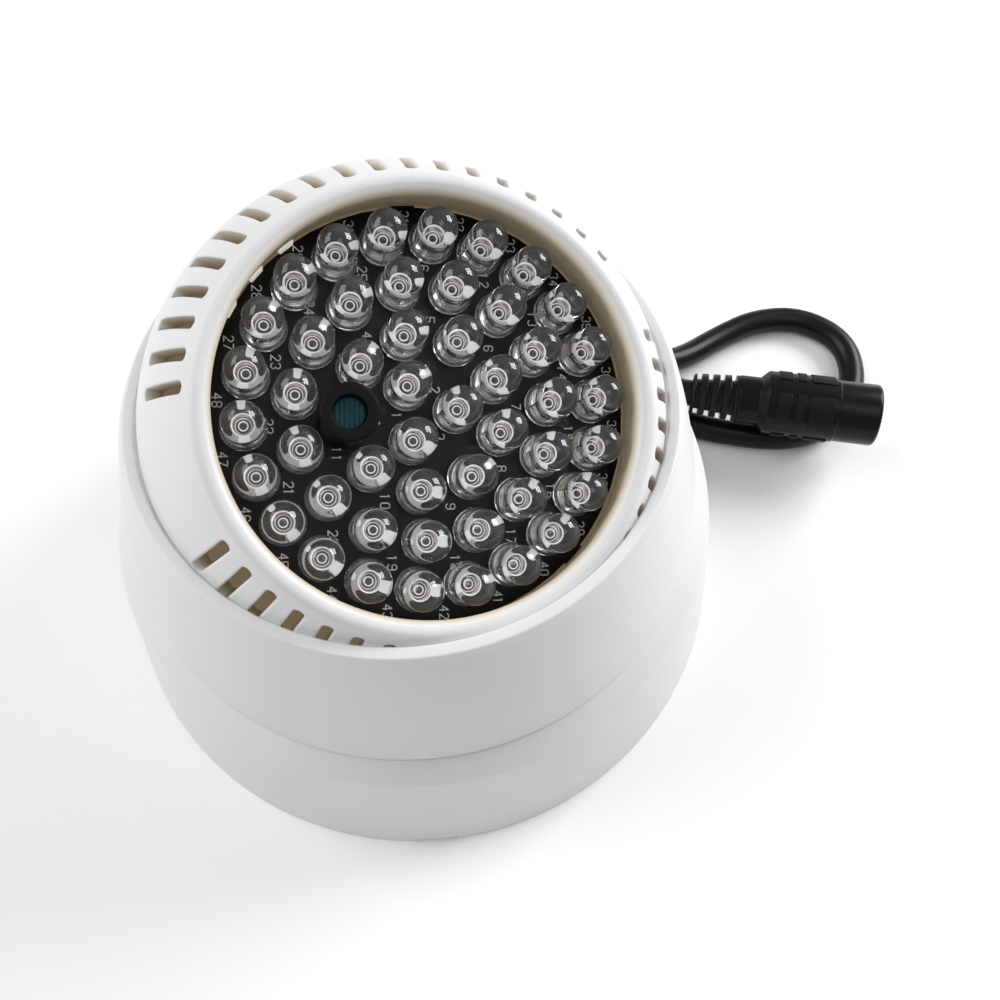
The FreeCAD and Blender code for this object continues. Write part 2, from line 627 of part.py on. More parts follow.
def make_cord_grommet():
    """Rubber grommet: inner flange, neck in the wall, outer flange and a tapered nozzle."""
    neck_r = CORD_HOLE_R - GROMMET_CLEARANCE
    inside = -BASE_WALL
    rings = [(GROMMET_FLANGE_R, inside - GROMMET_FLANGE_T), (GROMMET_FLANGE_R, inside - GROMMET_SEAT),
             (neck_r, inside - GROMMET_SEAT), (neck_r, GROMMET_FACE_GAP), (GROMMET_FLANGE_R, GROMMET_FACE_GAP),
             (GROMMET_FLANGE_R, GROMMET_FLANGE_T), (GROMMET_ROOT_R, GROMMET_FLANGE_T),
             (GROMMET_TIP_R, GROMMET_LEN)]
    return in_wall(faceted(rings, SMALL_SIDE_COUNT))


def make_cord():
    """Free lead from the grommet's end to the strain relief of the socket."""
    corners = [(BASE_FOOT_R + x, y, z) for x, y, z in CORD_CORNERS]
    exits = [tuple(wall_point(GROMMET_LEN + reach)) for reach in (0, CORD_LEAD_OUT)]
    route = [*exits, *corners, JACK_START]
    solid, share, length, radii = tube(route, CORD_R, CORD_SIDE_COUNT)
    print("cord length", round(length, 1), "volume share", round(share, 4))
    print("cord radii", [round(r, 1) for r in radii])
    return solid


def on_jack(shape):
    """Move a shape whose Z is the socket's axis to the end of the lead."""
    axis = Vector(*JACK_END) - Vector(*JACK_START)
    level = math.degrees(math.atan2(axis.y, axis.x))
    rise = math.degrees(math.asin(axis.z / axis.Length))
    shape.rotate(ORIGIN, Vector(0, 1, 0), 90 - rise)
    shape.rotate(ORIGIN, Z_AXIS, level)
    shape.translate(Vector(*JACK_START))
    return shape


def jack_length():
    """Length of the socket from its strain relief's end to its mouth."""
    return (Vector(*JACK_END) - Vector(*JACK_START)).Length


def make_jack_strain_relief():
    """Tapered strain relief with slots cut from both sides, so that it bends."""
    relief = faceted([(RELIEF_START_R, 0), (RELIEF_END_R, RELIEF_LEN)], JACK_SIDE_COUNT)
    pitch = RELIEF_LEN / RELIEF_SLOT_COUNT
    cuts = []
    for k in range(RELIEF_SLOT_COUNT):
        for side in (-1, 1):
            low = pitch * (k + 0.5) - RELIEF_SLOT_W / 2
            deep = RELIEF_END_R - RELIEF_SLOT_DEPTH
            corner = Vector(-RELIEF_END_R - 1, deep if side > 0 else -deep - RELIEF_END_R, low)
            cuts.append(Part.makeBox(2 * RELIEF_END_R + 2, RELIEF_END_R, RELIEF_SLOT_W, corner))
    return on_jack(relief.cut(cuts))


def make_jack_body():
    """Moulded socket body: neck, shoulder, grip with raised bars on four sides, barrel and bore."""
    neck_end = RELIEF_LEN + NECK_LEN
    grip_start = neck_end + SHOULDER_LEN
    grip_end = grip_start + GRIP_LEN
    end = jack_length()
    floor = end - JACK_BORE_DEPTH
    rings = [(NECK_R, RELIEF_LEN), (NECK_R, neck_end), (JACK_R, grip_start), (JACK_R, grip_end),
             (BARREL_R, grip_end + 0.2), (BARREL_R, end), (JACK_BORE_R, end), (JACK_BORE_R, floor)]
    body = faceted(rings, JACK_SIDE_COUNT)
    bars = []
    for middle in JACK_BAR_ANGLES:
        for low, length in JACK_BARS:
            turns = [middle + JACK_BAR_HALF_ANGLE * share for share in (-1, 0, 1)]
            outline = [polar(JACK_R + JACK_BAR_H, a, grip_start + low) for a in turns]
            outline += [polar(JACK_R - JACK_BAR_DEPTH, a, grip_start + low) for a in (turns[-1], turns[0])]
            plate = Part.Face(Part.makePolygon(outline + outline[:1]))
            bars.append(plate.extrude(Vector(0, 0, length)))
    return on_jack(body.fuse(bars))


def make_jack_insulator():
    """Disc at the bottom of the socket's bore, which holds its contacts."""
    floor = jack_length() - JACK_BORE_DEPTH
    return on_jack(round_bar(JACK_BORE_R - JACK_FIT, floor, floor + INSULATOR_T, sides=JACK_SIDE_COUNT))


def make_jack_contact_sleeve():
    """Springy contact sleeve that lines the bore."""
    low = jack_length() - JACK_BORE_DEPTH + INSULATOR_T
    high = jack_length() - SLEEVE_CONTACT_RECESS
    outer = JACK_BORE_R - JACK_FIT
    inner = outer - SLEEVE_CONTACT_WALL
    return on_jack(faceted([(inner, low), (outer, low), (outer, high), (inner, high)], JACK_SIDE_COUNT, closed=True))


def make_jack_centre_pin():
    """Centre pin of the socket."""
    low = jack_length() - JACK_BORE_DEPTH + INSULATOR_T
    high = jack_length() - CENTRE_PIN_RECESS
    tip = CENTRE_PIN_TIP
    rings = [(CENTRE_PIN_R, low), (CENTRE_PIN_R, high - tip), (CENTRE_PIN_R - tip, high)]
    return on_jack(faceted(rings, SMALL_SIDE_COUNT))


def main():
    """Build every piece and write each to its own file."""
    pieces = {
        "base_shell": make_base_shell(),
        "collar_ring": make_collar_ring(),
        "seat_ring": make_seat_ring(),
        "ball_front_shell": make_ball_front_shell(),
        "ball_rear_shell": make_ball_rear_shell(),
        "shell_screws": make_shell_screws(),
        "led_board": make_led_board(),
        "leds_outer_ring": make_led_ring(OUTER_RING),
        "leds_middle_ring": make_led_ring(MIDDLE_RING),
        "leds_third_ring": make_led_ring(THIRD_RING),
        "leds_inner_ring": make_led_ring(INNER_RING),
        "light_sensor": make_light_sensor(),
        "sensor_sleeve": make_sensor_sleeve(),
        "board_resistors": make_board_resistors(),
        "switch_transistor": make_back_part(TRANSISTOR_SIZE, TRANSISTOR_PLACE),
        "supply_diode": make_back_part(DIODE_SIZE, DIODE_PLACE),
        "lead_header": make_back_part(HEADER_SIZE, HEADER_PLACE),
        "lead_plug": make_back_part(PLUG_SIZE, HEADER_PLACE, HEADER_SIZE[2]),
        "board_wires": make_board_wires(),
        "lead_bush": make_lead_bush(),
        "inner_lead": make_inner_lead(),
        "cord_grommet": make_cord_grommet(),
        "cord": make_cord(),
        "jack_strain_relief": make_jack_strain_relief(),
        "jack_body": make_jack_body(),
        "jack_insulator": make_jack_insulator(),
        "jack_contact_sleeve": make_jack_contact_sleeve(),
        "jack_centre_pin": make_jack_centre_pin(),
    }
    os.makedirs("parts", exist_ok=True)
    for name, shape in pieces.items():
        shape.exportStep("parts/" + name + ".step")
        print(name, "solids", len(shape.Solids), "volume", round(shape.Volume, 1), "valid", shape.isValid())


main()
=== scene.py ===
"""Infrared illuminator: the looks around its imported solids.

A slotted ball with a board of lamps and a light sensor swivels in a flared base under a twist-on
collar. A short black lead lies beside it and ends in an inline socket. Sizes are in millimetres
in the classes, and become metres where a mesh is made. The ball's own frame has its origin at
the ball's centre and Z the way it faces.
"""

import logging
import math
from collections.abc import Sequence
from dataclasses import dataclass
from enum import Enum, IntEnum

import bpy
import numpy as np
from mathutils import Matrix, Vector


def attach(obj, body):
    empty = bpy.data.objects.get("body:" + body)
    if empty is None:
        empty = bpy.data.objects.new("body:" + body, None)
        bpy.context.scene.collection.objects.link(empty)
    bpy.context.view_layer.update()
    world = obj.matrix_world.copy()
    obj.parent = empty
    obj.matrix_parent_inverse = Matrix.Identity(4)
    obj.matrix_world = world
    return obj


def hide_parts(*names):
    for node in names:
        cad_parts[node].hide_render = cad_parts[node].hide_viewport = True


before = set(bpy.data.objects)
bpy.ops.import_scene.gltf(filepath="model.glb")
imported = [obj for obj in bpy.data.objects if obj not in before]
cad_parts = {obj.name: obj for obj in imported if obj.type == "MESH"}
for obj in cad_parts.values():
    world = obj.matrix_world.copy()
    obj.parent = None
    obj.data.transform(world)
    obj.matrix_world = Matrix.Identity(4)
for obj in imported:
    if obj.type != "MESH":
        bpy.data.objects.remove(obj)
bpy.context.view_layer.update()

log = logging.getLogger("illuminator")

# Sizes that several classes share: millimetres, and degrees but for the ball's lean

MM = 0.001
WELD_DISTANCE = 1e-4
CREASE = 32.0
X, Y, Z = range(3)

BALL_CENTRE = np.array([0.0, 0.0, 42.0])
BALL_LEAN = math.radians(27.0)
BALL_R = 36.3
BALL_WALL = 2.2
BOSS_CIRCLE = 30.2
BOSS_ANGLES = (171.3, 6.3)
BOARD_FACE_H = 14.2
PRINT_T = 0.02

FOOT_R = 51.0
TOP_R = 46.7
SHOULDER_Z = 24.0
BASE_SLOPE = (FOOT_R - TOP_R) / SHOULDER_Z
SEAM_R = 43.8
LUGS = 3
LUG_PITCH = 360.0 / LUGS

CORD_R = 2.4
LEAD_TURN = 62.0
GROMMET_LEN = 12.0
GROMMET_SPOT_Z = 9.0
GROMMET_SPOT_R = FOOT_R - BASE_SLOPE * GROMMET_SPOT_Z
SOCKET_START = np.array([57.0, 1.2, 9.4])
SOCKET_END = np.array([82.8, -20.0, 12.3])
SOCKET_LEN = float(np.linalg.norm(SOCKET_END - SOCKET_START))

Faces = list[list[int]]
Shape = tuple[np.ndarray, Faces]
Pair = tuple[float, float]
Triple = tuple[float, float, float]


class Place(Enum):
    """Frames that shapes are made in, before they go to the object's frame."""

    OBJECT = "object"
    BALL = "ball"
    SOCKET = "socket"
    WALL = "wall"


class Body(Enum):
    """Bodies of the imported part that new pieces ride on."""

    BASE = "base"
    COLLAR = "collar"
    BALL = "ball"


class ShellFace(IntEnum):
    """Finishes of the ball's front half, in the order that its piece takes them; all but the outside carry
    painted shade or painted light.
    """

    OUTSIDE = 0
    INSIDE = 1
    FUNNEL = 2
    SLOT = 3
    NUB = 4


# Frames and placing

def spin(axis: int, angle: float) -> np.ndarray:
    """Rotation matrix: cos on the diagonal of the other two axes, and sin and -sin across them.

    Args:
        axis: The axis that it turns about, X, Y or Z.
        angle: The angle in radians.

    Returns:
        The matrix.
    """
    i, j = (axis + 1) % 3, (axis + 2) % 3
    matrix = np.eye(3)
    matrix[i, i] = matrix[j, j] = math.cos(angle)
    matrix[j, i] = math.sin(angle)
    matrix[i, j] = -math.sin(angle)
    return matrix


def placed(points: np.ndarray, place: Place) -> np.ndarray:
    """Points of a frame, in the object's frame, still in millimetres.

    Args:
        points: An array of points, one a row.
        place: The frame that they are in.

    Returns:
        The same points as rotation times point plus shift.
    """
    if place is Place.BALL:
        return points @ spin(X, BALL_LEAN).T + BALL_CENTRE
    if place is Place.SOCKET:
        axis = (SOCKET_END - SOCKET_START) / SOCKET_LEN
        rise = math.asin(axis[2])
        level = math.atan2(axis[1], axis[0])
        turn = spin(Z, level) @ spin(Y, math.pi / 2 - rise)
        return points @ turn.T + SOCKET_START
    if place is Place.WALL:
        upright = math.pi / 2 - math.atan(BASE_SLOPE)
        tilted = points @ spin(Y, upright).T + [GROMMET_SPOT_R, 0, GROMMET_SPOT_Z]
        return tilted @ spin(Z, math.radians(LEAD_TURN)).T
    return points


# Shapes worked out with arrays

def welded(points: np.ndarray, faces: np.ndarray) -> Shape:
    """Points that fall together become one, and faces lose the corners that this doubles.

    Args:
        points: An array of points in millimetres.
        faces: An array of four corner numbers a row.

    Returns:
        The points and the faces that are left.
    """
    _, first, number = np.unique(np.round(points / WELD_DISTANCE).astype(np.int64), axis=0,
                                 return_index=True, return_inverse=True)
    number = number.reshape(-1)
    kept = []
    for face in number[faces].tolist():
        ring = [c for i, c in enumerate(face) if c != face[i - 1]]
        if len(set(ring)) >= 3:
            kept.append(ring)
    return points[first], kept


def outward(points: np.ndarray, faces: Faces) -> Faces:
    """Faces turned so that they point out, by the sign of the volume of their triangles' cones.

    Args:
        points: The points of a closed shape.
        faces: Its faces, which all turn the same way.

    Returns:
        The faces, turned round where the volume was negative.
    """
    fans = [(f[0], f[k], f[k + 1]) for f in faces for k in range(1, len(f) - 1)]
    a, b, c = (points[np.array(fans)[:, k]] for k in range(3))
    volume = np.einsum("ij,ij->i", a, np.cross(b, c)).sum()
    return faces if volume > 0 else [f[::-1] for f in faces]


def rounded(corners: list[tuple[float, float, float]], steps: int = 5) -> np.ndarray:
    """Closed outline whose corners are rounded by arcs.

    Each corner with a fillet radius f becomes the arc that touches both its sides: the centre
    lies on the bisector at f / sin(half the corner's angle).

    Args:
        corners: (radius, height, fillet) of each corner.
        steps: Number of chords of an arc.

    Returns:
        An array of (radius, height), one a row.
    """
    flat = np.array([c[:2] for c in corners], float)
    line = []
    for k, (_, _, fillet) in enumerate(corners):
        here, before, after = flat[k], flat[k - 1], flat[(k + 1) % len(flat)]
        if fillet <= 0:
            line.append(here[None])
            continue
        back = (before - here) / np.linalg.norm(before - here)
        onward = (after - here) / np.linalg.norm(after - here)
        half = math.acos(float(np.clip(back @ onward, -1, 1))) / 2
        middle = (back + onward) / np.linalg.norm(back + onward)
        centre = here + middle * fillet / math.sin(half)
        start = here + back * fillet / math.tan(half) - centre
        end = here + onward * fillet / math.tan(half) - centre
        sweep = math.acos(float(np.clip(start @ end / fillet ** 2, -1, 1)))
        t = np.linspace(0, 1, steps + 1)[:, None]
        arc = (np.sin((1 - t) * sweep) * start + np.sin(t * sweep) * end) / math.sin(sweep)
        line.append(arc + centre)
    return np.vstack(line)


def grid_faces(rows: int, columns: int, rows_close: bool) -> np.ndarray:
    """Cells of a grid whose columns close on themselves: point (j, i) has the number j columns + i.

    Args:
        rows: Number of rows of points.
        columns: Number of points in a row.
        rows_close: Whether the last row joins the first.

    Returns:
        Four corner numbers a row.
    """
    last = rows if rows_close else rows - 1
    j, i = np.meshgrid(np.arange(last), np.arange(columns), indexing="ij")
    j2, i2 = (j + 1) % rows, (i + 1) % columns
    return np.stack([j * columns + i, j * columns + i2, j2 * columns + i2, j2 * columns + i],
                    axis=-1).reshape(-1, 4)


def turned(outline: np.ndarray, segments: int, closed: bool = True) -> Shape:
    """Surface of revolution: x = r cos a, y = r sin a, z = h, for each (r, h) of the outline.

    Args:
        outline: (radius, height) points.
        segments: Number of steps of the angle a.
        closed: Whether the last point joins the first. An open outline ends on the axis.

    Returns:
        The closed shape.
    """
    a = np.linspace(0, 2 * math.pi, segments, endpoint=False)
    r, h = outline[:, :1], outline[:, 1:]
    points = np.stack([r * np.cos(a), r * np.sin(a), h + 0 * a], axis=-1).reshape(-1, 3)
    points, faces = welded(points, grid_faces(len(outline), segments, closed))
    return points, outward(points, faces)


def bar(corners: np.ndarray, low: float, high: float) -> Shape:
    """Prism over an outline in plan.

    Args:
        corners: The outline, (x, y) a row.
        low: Height of its underside.
        high: Height of its top.

    Returns:
        The closed shape.
    """
    n = len(corners)
    points = np.vstack([np.column_stack([corners, np.full(n, low)]),
                        np.column_stack([corners, np.full(n, high)])])
    faces = [list(range(n)), list(range(n, 2 * n))[::-1]]
    faces += [[k, k + n, (k + 1) % n + n, (k + 1) % n] for k in range(n)]
    return points, outward(points, faces)


def oblong(length: float, width: float, corner: float, steps: int = 1) -> np.ndarray:
    """Outline of a rectangle with round corners, in plan, about the origin."""
    x, y = length / 2, width / 2
    return rounded([(x, y, corner), (-x, y, corner), (-x, -y, corner), (x, -y, corner)], steps)


def on_circle(degrees: np.ndarray) -> np.ndarray:
    """Points (cos a, sin a), one a row, at the angles a."""
    a = np.radians(degrees)
    return np.column_stack([np.cos(a), np.sin(a)])


def disc(radius: float, segments: int, low: float, high: float) -> Shape:
    """Round prism about Z."""
    return bar(radius * on_circle(np.linspace(0, 360, segments, endpoint=False)), low, high)


def sector(radii: Pair, half_angle: float, count: int, heights: Pair) -> Shape:
    """Plate between two arcs about Z.

    Args:
        radii: The radius of each arc.
        half_angle: How far they reach to each side of X, in degrees.
        count: Points on each arc.
        heights: Underside and top.

    Returns:
        The closed shape.
    """
    arc = on_circle(np.linspace(-half_angle, half_angle, count))
    return bar(np.vstack([arc * radii[0], arc[::-1] * radii[1]]), *heights)


def moved(shape: Shape, angle: float = 0.0, out: float = 0.0, spot: Sequence[float] = (0, 0, 0)) -> Shape:
    """Shape pushed along X, then turned about Z, then shifted.

    Args:
        shape: The shape.
        angle: The turn in degrees.
        out: The push along X.
        spot: The shift.

    Returns:
        The shape in its new place.
    """
    points = (shape[0] + [out, 0, 0]) @ spin(Z, math.radians(angle)).T + spot
    return points, shape[1]


def joined(shapes: list[Shape]) -> Shape:
    """Several closed shapes as one, each on its own points.

    Args:
        shapes: The shapes.

    Returns:
        Their points and faces, in the same order.
    """
    points, faces, count = [], [], 0
    for spots, rings in shapes:
        points.append(spots)
        faces += [[c + count for c in ring] for ring in rings]
        count += len(spots)
    return np.vstack(points), faces


def copies(shape: Shape, spots: np.ndarray, turns: np.ndarray) -> Shape:
    """The shape at each spot, as one array: turn about Z times point, plus spot.

    Args:
        shape: The shape at the origin.
        spots: Places, one a row.
        turns: The angle at each place, in radians.

    Returns:
        All of them as one shape.
    """
    points, faces = shape
    c, s = np.cos(turns)[:, None], np.sin(turns)[:, None]
    x, y, z = points.T
    every = np.stack([c * x - s * y, s * x + c * y, 0 * c + z], axis=-1) + spots[:, None]
    count = len(points)
    rings = [[n + k * count for n in ring] for k in range(len(spots)) for ring in faces]
    return every.reshape(-1, 3), rings


# Finishes, whose noise mostly stays within NOISE_SPAN

NOISE_SPAN = (0.3, 0.7)
GLOSS_DETAIL = 4.0
BUMP_DETAIL = 5.0


class Nodes:
    """A material's node tree, with short calls for the nodes that the finishes share."""

    def __init__(self, name: str) -> None:
        """Make a material with a Principled shader.

        Args:
            name: The material's name.
        """
        self.material = bpy.data.materials.new(name)
        self.material.use_nodes = True
        self.tree = self.material.node_tree
        self.shader = self.tree.nodes["Principled BSDF"]

    def set(self, **values: float | tuple) -> None:
        """Set constants on the shader's own sockets, named with _ for a space."""
        for name, value in values.items():
            self.shader.inputs[name.replace("_", " ")].default_value = value

    def add(self, kind: str, **settings: object) -> bpy.types.Node:
        """Add a node.

        Args:
            kind: The node's type.
            settings: Its properties.

        Returns:
            The node.
        """
        node = self.tree.nodes.new(kind)
        for name, value in settings.items():
            setattr(node, name, value)
        return node

    def link(self, start: bpy.types.NodeSocket, end: bpy.types.NodeSocket) -> None:
        """Join two sockets."""
        self.tree.links.new(start, end)

    def noise(self, scale: float, detail: float = 3.0) -> bpy.types.NodeSocket:
        """Noise on object coordinates.

        Args:
            scale: Waves a metre.
            detail: How many finer layers it has.

        Returns:
            Its value.
        """
        place = self.add("ShaderNodeTexCoord")
        texture = self.add("ShaderNodeTexNoise")
        texture.inputs["Scale"].default_value = scale
        texture.inputs["Detail"].default_value = detail
        self.link(place.outputs["Object"], texture.inputs["Vector"])
        return texture.outputs["Fac"]

    def ramp(self, source: bpy.types.NodeSocket, stops: Sequence[tuple[float, Triple]],
             *ends: str) -> None:
        """Colour ramp from a value to some of the shader's sockets.

        Args:
            source: The value.
            stops: Place and colour of each stop.
            ends: Names of the sockets that take the colour.
        """
        ramp = self.add("ShaderNodeValToRGB")
        band = ramp.color_ramp
        for k, (spot, colour) in enumerate(stops):
            element = band.elements[k] if k < len(band.elements) else band.elements.new(spot)
            element.position = spot
            element.color = (*colour, 1.0)
        self.link(source, ramp.inputs["Fac"])
        for end in ends:
            self.link(ramp.outputs["Color"], self.shader.inputs[end])

    def remap(self, source: bpy.types.NodeSocket, start: Pair,
              end: Pair = (0.0, 1.0)) -> bpy.types.NodeSocket:
        """Value carried from one range to another.

        Args:
            source: The value.
            start: Its lowest and highest.
            end: What they become.

        Returns:
            The new value.
        """
        node = self.add("ShaderNodeMapRange")
        for name, value in zip(("From Min", "From Max", "To Min", "To Max"), (*start, *end)):
            node.inputs[name].default_value = value
        self.link(source, node.inputs["Value"])
        return node.outputs["Result"]

    def tint(self, colour: Triple, spread: float, scale: float) -> None:
        """Colour that wanders by a share of itself, on broad noise.

        Args:
            colour: The colour.
            spread: The share.
            scale: Waves a metre.
        """
        low = tuple(max(0.0, c * (1 - spread)) for c in colour)
        high = tuple(min(1.0, c * (1 + spread)) for c in colour)
        self.ramp(self.noise(scale), [(NOISE_SPAN[0], low), (NOISE_SPAN[1], high)], "Base Color")

    def gloss(self, rough: Pair, scale: float) -> None:
        """Roughness that wanders between two values, on noise."""
        value = self.remap(self.noise(scale, GLOSS_DETAIL), NOISE_SPAN, rough)
        self.link(value, self.shader.inputs["Roughness"])

    def bump(self, scale: float, height: float) -> None:
        """Fine relief from noise.

        Args:
            scale: Waves a metre.
            height: Its height in metres.
        """
        relief = self.add("ShaderNodeBump")
        relief.inputs["Strength"].default_value = 1.0
        relief.inputs["Distance"].default_value = height
        self.link(self.noise(scale, BUMP_DETAIL), relief.inputs["Height"])
        self.link(relief.outputs["Normal"], self.shader.inputs["Normal"])


@dataclass(frozen=True)
class Surface:
    """What most finishes share: colour that wanders, uneven gloss and a fine grain.

    The waves and the grain are in waves a metre, the relief in metres.
    """

    name: str
    colour: Triple
    rough: Pair
    spread: float = 0.02
    grain: float = 4000.0
    relief: float = 4e-6
    tint_waves: float = 60.0
    gloss_waves: float = 120.0
    glow: float = 0.0

    def nodes(self) -> Nodes:
        """Make the nodes that the finish starts from.

        Returns:
            The node tree, to add to.
        """
        nodes = Nodes(self.name)
        nodes.tint(self.colour, self.spread, self.tint_waves)
        nodes.gloss(self.rough, self.gloss_waves)
        nodes.bump(self.grain, self.relief)
        if self.glow:
            nodes.set(Emission_Color=(*self.colour, 1.0), Emission_Strength=self.glow)
        return nodes


@dataclass(frozen=True)
class Moulded(Surface):
    """Moulded plastic or rubber.

    Its glow stands for the daylight that comes through the white wall from outside.
    """

    scatter: float = 0.0
    scatter_reach: Triple = (0.002, 0.0016, 0.0012)
    shine: float = 0.5

    def material(self) -> bpy.types.Material:
        """Make the material.

        Returns:
            The material, with light that scatters inside it where scatter is set.
        """
        nodes = self.nodes()
        nodes.set(Specular_IOR_Level=self.shine)
        if self.scatter:
            nodes.set(Subsurface_Weight=self.scatter, Subsurface_Radius=self.scatter_reach,
                      Subsurface_Scale=1.0)
        return nodes.material


@dataclass(frozen=True)
class DepthTint:
    """Shell plastic with painted shade, from white to tan with depth, and a painted glow.

    Depth runs along the ball's own axis, or with radial set, from its surface to its centre.
    """

    name: str
    low: float
    high: float
    stops: tuple[tuple[float, Triple], ...]
    radial: bool = False
    glow: float = 0.0
    rough: Pair = (0.36, 0.46)
    gloss_waves: float = 120.0
    grain: float = 2500.0
    relief: float = 6e-6

    def material(self) -> bpy.types.Material:
        """Make the material: a ramp over point . axis, or over the distance to the centre.

        Returns:
            The material.
        """
        nodes = Nodes(self.name)
        place = nodes.add("ShaderNodeTexCoord")
        axis = spin(X, BALL_LEAN)[:, 2]
        depth = nodes.add("ShaderNodeVectorMath", operation="DISTANCE" if self.radial else "DOT_PRODUCT")
        depth.inputs[1].default_value = tuple(BALL_CENTRE * MM if self.radial else axis)
        nodes.link(place.outputs["Object"], depth.inputs[0])
        start = 0.0 if self.radial else float(axis @ BALL_CENTRE)
        share = nodes.remap(depth.outputs["Value"], ((start + self.low) * MM, (start + self.high) * MM))
        nodes.ramp(share, self.stops, "Base Color", "Emission Color")
        nodes.set(Emission_Strength=self.glow)
        nodes.gloss(self.rough, self.gloss_waves)
        nodes.bump(self.grain, self.relief)
        return nodes.material


@dataclass(frozen=True)
class Metal(Surface):
    """Plated or drawn metal with a fine uneven sheen.

    Its glow stands for the light that a lamp's dome gathers on it.
    """

    spread: float = 0.04
    grain: float = 5000.0
    relief: float = 2e-6
    tint_waves: float = 300.0
    gloss_waves: float = 900.0
    metal: float = 1.0

    def material(self) -> bpy.types.Material:
        """Make the material.

        Returns:
            The material.
        """
        nodes = self.nodes()
        nodes.set(Metallic=self.metal)
        return nodes.material


@dataclass(frozen=True)
class Epoxy(Surface):
    """Clear cast epoxy of a lamp."""

    spread: float = 0.01
    grain: float = 600.0
    relief: float = 8e-8
    tint_waves: float = 200.0
    gloss_waves: float = 700.0
    clear: float = 0.97
    index: float = 1.53

    def material(self) -> bpy.types.Material:
        """Make the material.

        Returns:
            The material.
        """
        nodes = self.nodes()
        nodes.set(Transmission_Weight=self.clear, IOR=self.index)
        return nodes.material


SHELL = Moulded("shell_plastic", (0.70, 0.705, 0.71), (0.38, 0.50), 0.012, 3500.0, 5e-6, scatter=0.12)
# Painted shade and light: the white shell's inside is coloured tan, as shade and warm bounce make it look,
# and given a glow.
INSIDE = Moulded("shell_inside_painted_shade", (0.38, 0.30, 0.20), (0.5, 0.65), 0.10, 2500.0, 8e-6, glow=0.27)
BACKLIT = Moulded("shell_backlit", (0.70, 0.70, 0.69), (0.45, 0.55), 0.012, 3500.0, 5e-6, glow=0.35)
# Painted shade: the funnel's white wall turns tan towards the board, where less light reaches, with a faint
# painted glow.
FUNNEL = DepthTint("funnel_wall_painted_shade", 14.3, 23.3, (
    (0.0, (0.44, 0.35, 0.23)),
    (0.7, (0.50, 0.41, 0.28)),
    (0.92, (0.58, 0.51, 0.39)),
    (1.0, (0.69, 0.68, 0.66))), glow=0.12)
# Painted shade: the slots' white walls turn tan deeper into the ball.
SLOT_WALL_PAINTED_SHADE = DepthTint("slot_wall_painted_shade", 34.1, 36.2, (
    (0.0, (0.40, 0.32, 0.20)),
    (0.55, (0.58, 0.52, 0.42)),
    (1.0, (0.70, 0.70, 0.70))), radial=True)
# Painted light: the nubs are paler than the shell and glow, as if lit through the slots.
NUB = Moulded("funnel_nub_painted_light", (0.93, 0.91, 0.80), (0.4, 0.5), glow=0.45)
SEAT = Moulded("seat_plastic", (0.74, 0.72, 0.68), (0.45, 0.55))
BOARD = Moulded("solder_mask", (0.006, 0.006, 0.007), (0.28, 0.40), 0.15, 1800.0, 6e-6, shine=0.15)
INK = Moulded("board_ink", (0.78, 0.78, 0.76), (0.5, 0.6))
DIE = Moulded("lamp_die", (0.035, 0.018, 0.015), (0.35, 0.45), 0.1)
SLEEVE = Moulded("sleeve_rubber", (0.004, 0.004, 0.004), (0.45, 0.6), 0.1, 3000.0, 8e-6, shine=0.12)
CELL = Moulded("sensor_cell", (0.006, 0.050, 0.060), (0.3, 0.4), 0.08, 2500.0, 3e-6, shine=0.1)
TRACK = Moulded("sensor_track", (0.010, 0.085, 0.100), (0.3, 0.4), 0.06, 2500.0, 3e-6, shine=0.1)
JACKET = Moulded("lead_jacket", (0.006, 0.006, 0.007), (0.26, 0.36), 0.15, 2600.0, 1e-5, shine=0.2)
SOCKET = Moulded("socket_plastic", (0.005, 0.005, 0.006), (0.22, 0.34), 0.15, 2200.0, 1.2e-5, shine=0.17)
PAD = Moulded("socket_grip_pad", (0.004, 0.004, 0.005), (0.50, 0.62), 0.15, 1500.0, 3e-5, shine=0.2)
RUBBER = Moulded("black_rubber", (0.006, 0.006, 0.006), (0.5, 0.65), 0.1, 2500.0, 1.2e-5, shine=0.25)
CHIP = Moulded("chip_ceramic", (0.02, 0.02, 0.022), (0.5, 0.6), 0.2)
PACKAGE = Moulded("package_resin", (0.015, 0.015, 0.015), (0.55, 0.65), 0.15)
NYLON = Moulded("header_nylon", (0.74, 0.71, 0.62), (0.4, 0.5), 0.03)
BOWL = Metal("lamp_bowl", (0.86, 0.78, 0.75), (0.16, 0.26), metal=0.8)
# Painted highlight: near-white, barely metallic and glowing, for the bright reflections on the lamps' frames.
FRAME_PAINTED_HIGHLIGHT = Metal("lamp_frame_painted_highlight", (0.98, 0.98, 0.98), (0.2, 0.3), metal=0.05, glow=0.22)
LEG_METAL = Metal("lamp_leg_metal", (0.62, 0.62, 0.63), (0.16, 0.26))
SOLDER = Metal("solder", (0.70, 0.70, 0.70), (0.22, 0.35))
STEEL = Metal("zinc_screw", (0.60, 0.61, 0.63), (0.25, 0.38))
NICKEL = Metal("nickel_contact", (0.68, 0.66, 0.60), (0.16, 0.26))
CLEAR = Epoxy("lamp_epoxy", (0.96, 0.97, 0.98), (0.01, 0.03))

Finish = Moulded | DepthTint | Metal | Epoxy
_made: dict[str, bpy.types.Material] = {}


def dressed(finish: Finish) -> bpy.types.Material:
    """The finish's material, made once.

    Args:
        finish: The finish.

    Returns:
        The material.
    """
    if finish.name not in _made:
        _made[finish.name] = finish.material()
    return _made[finish.name]


# Pieces

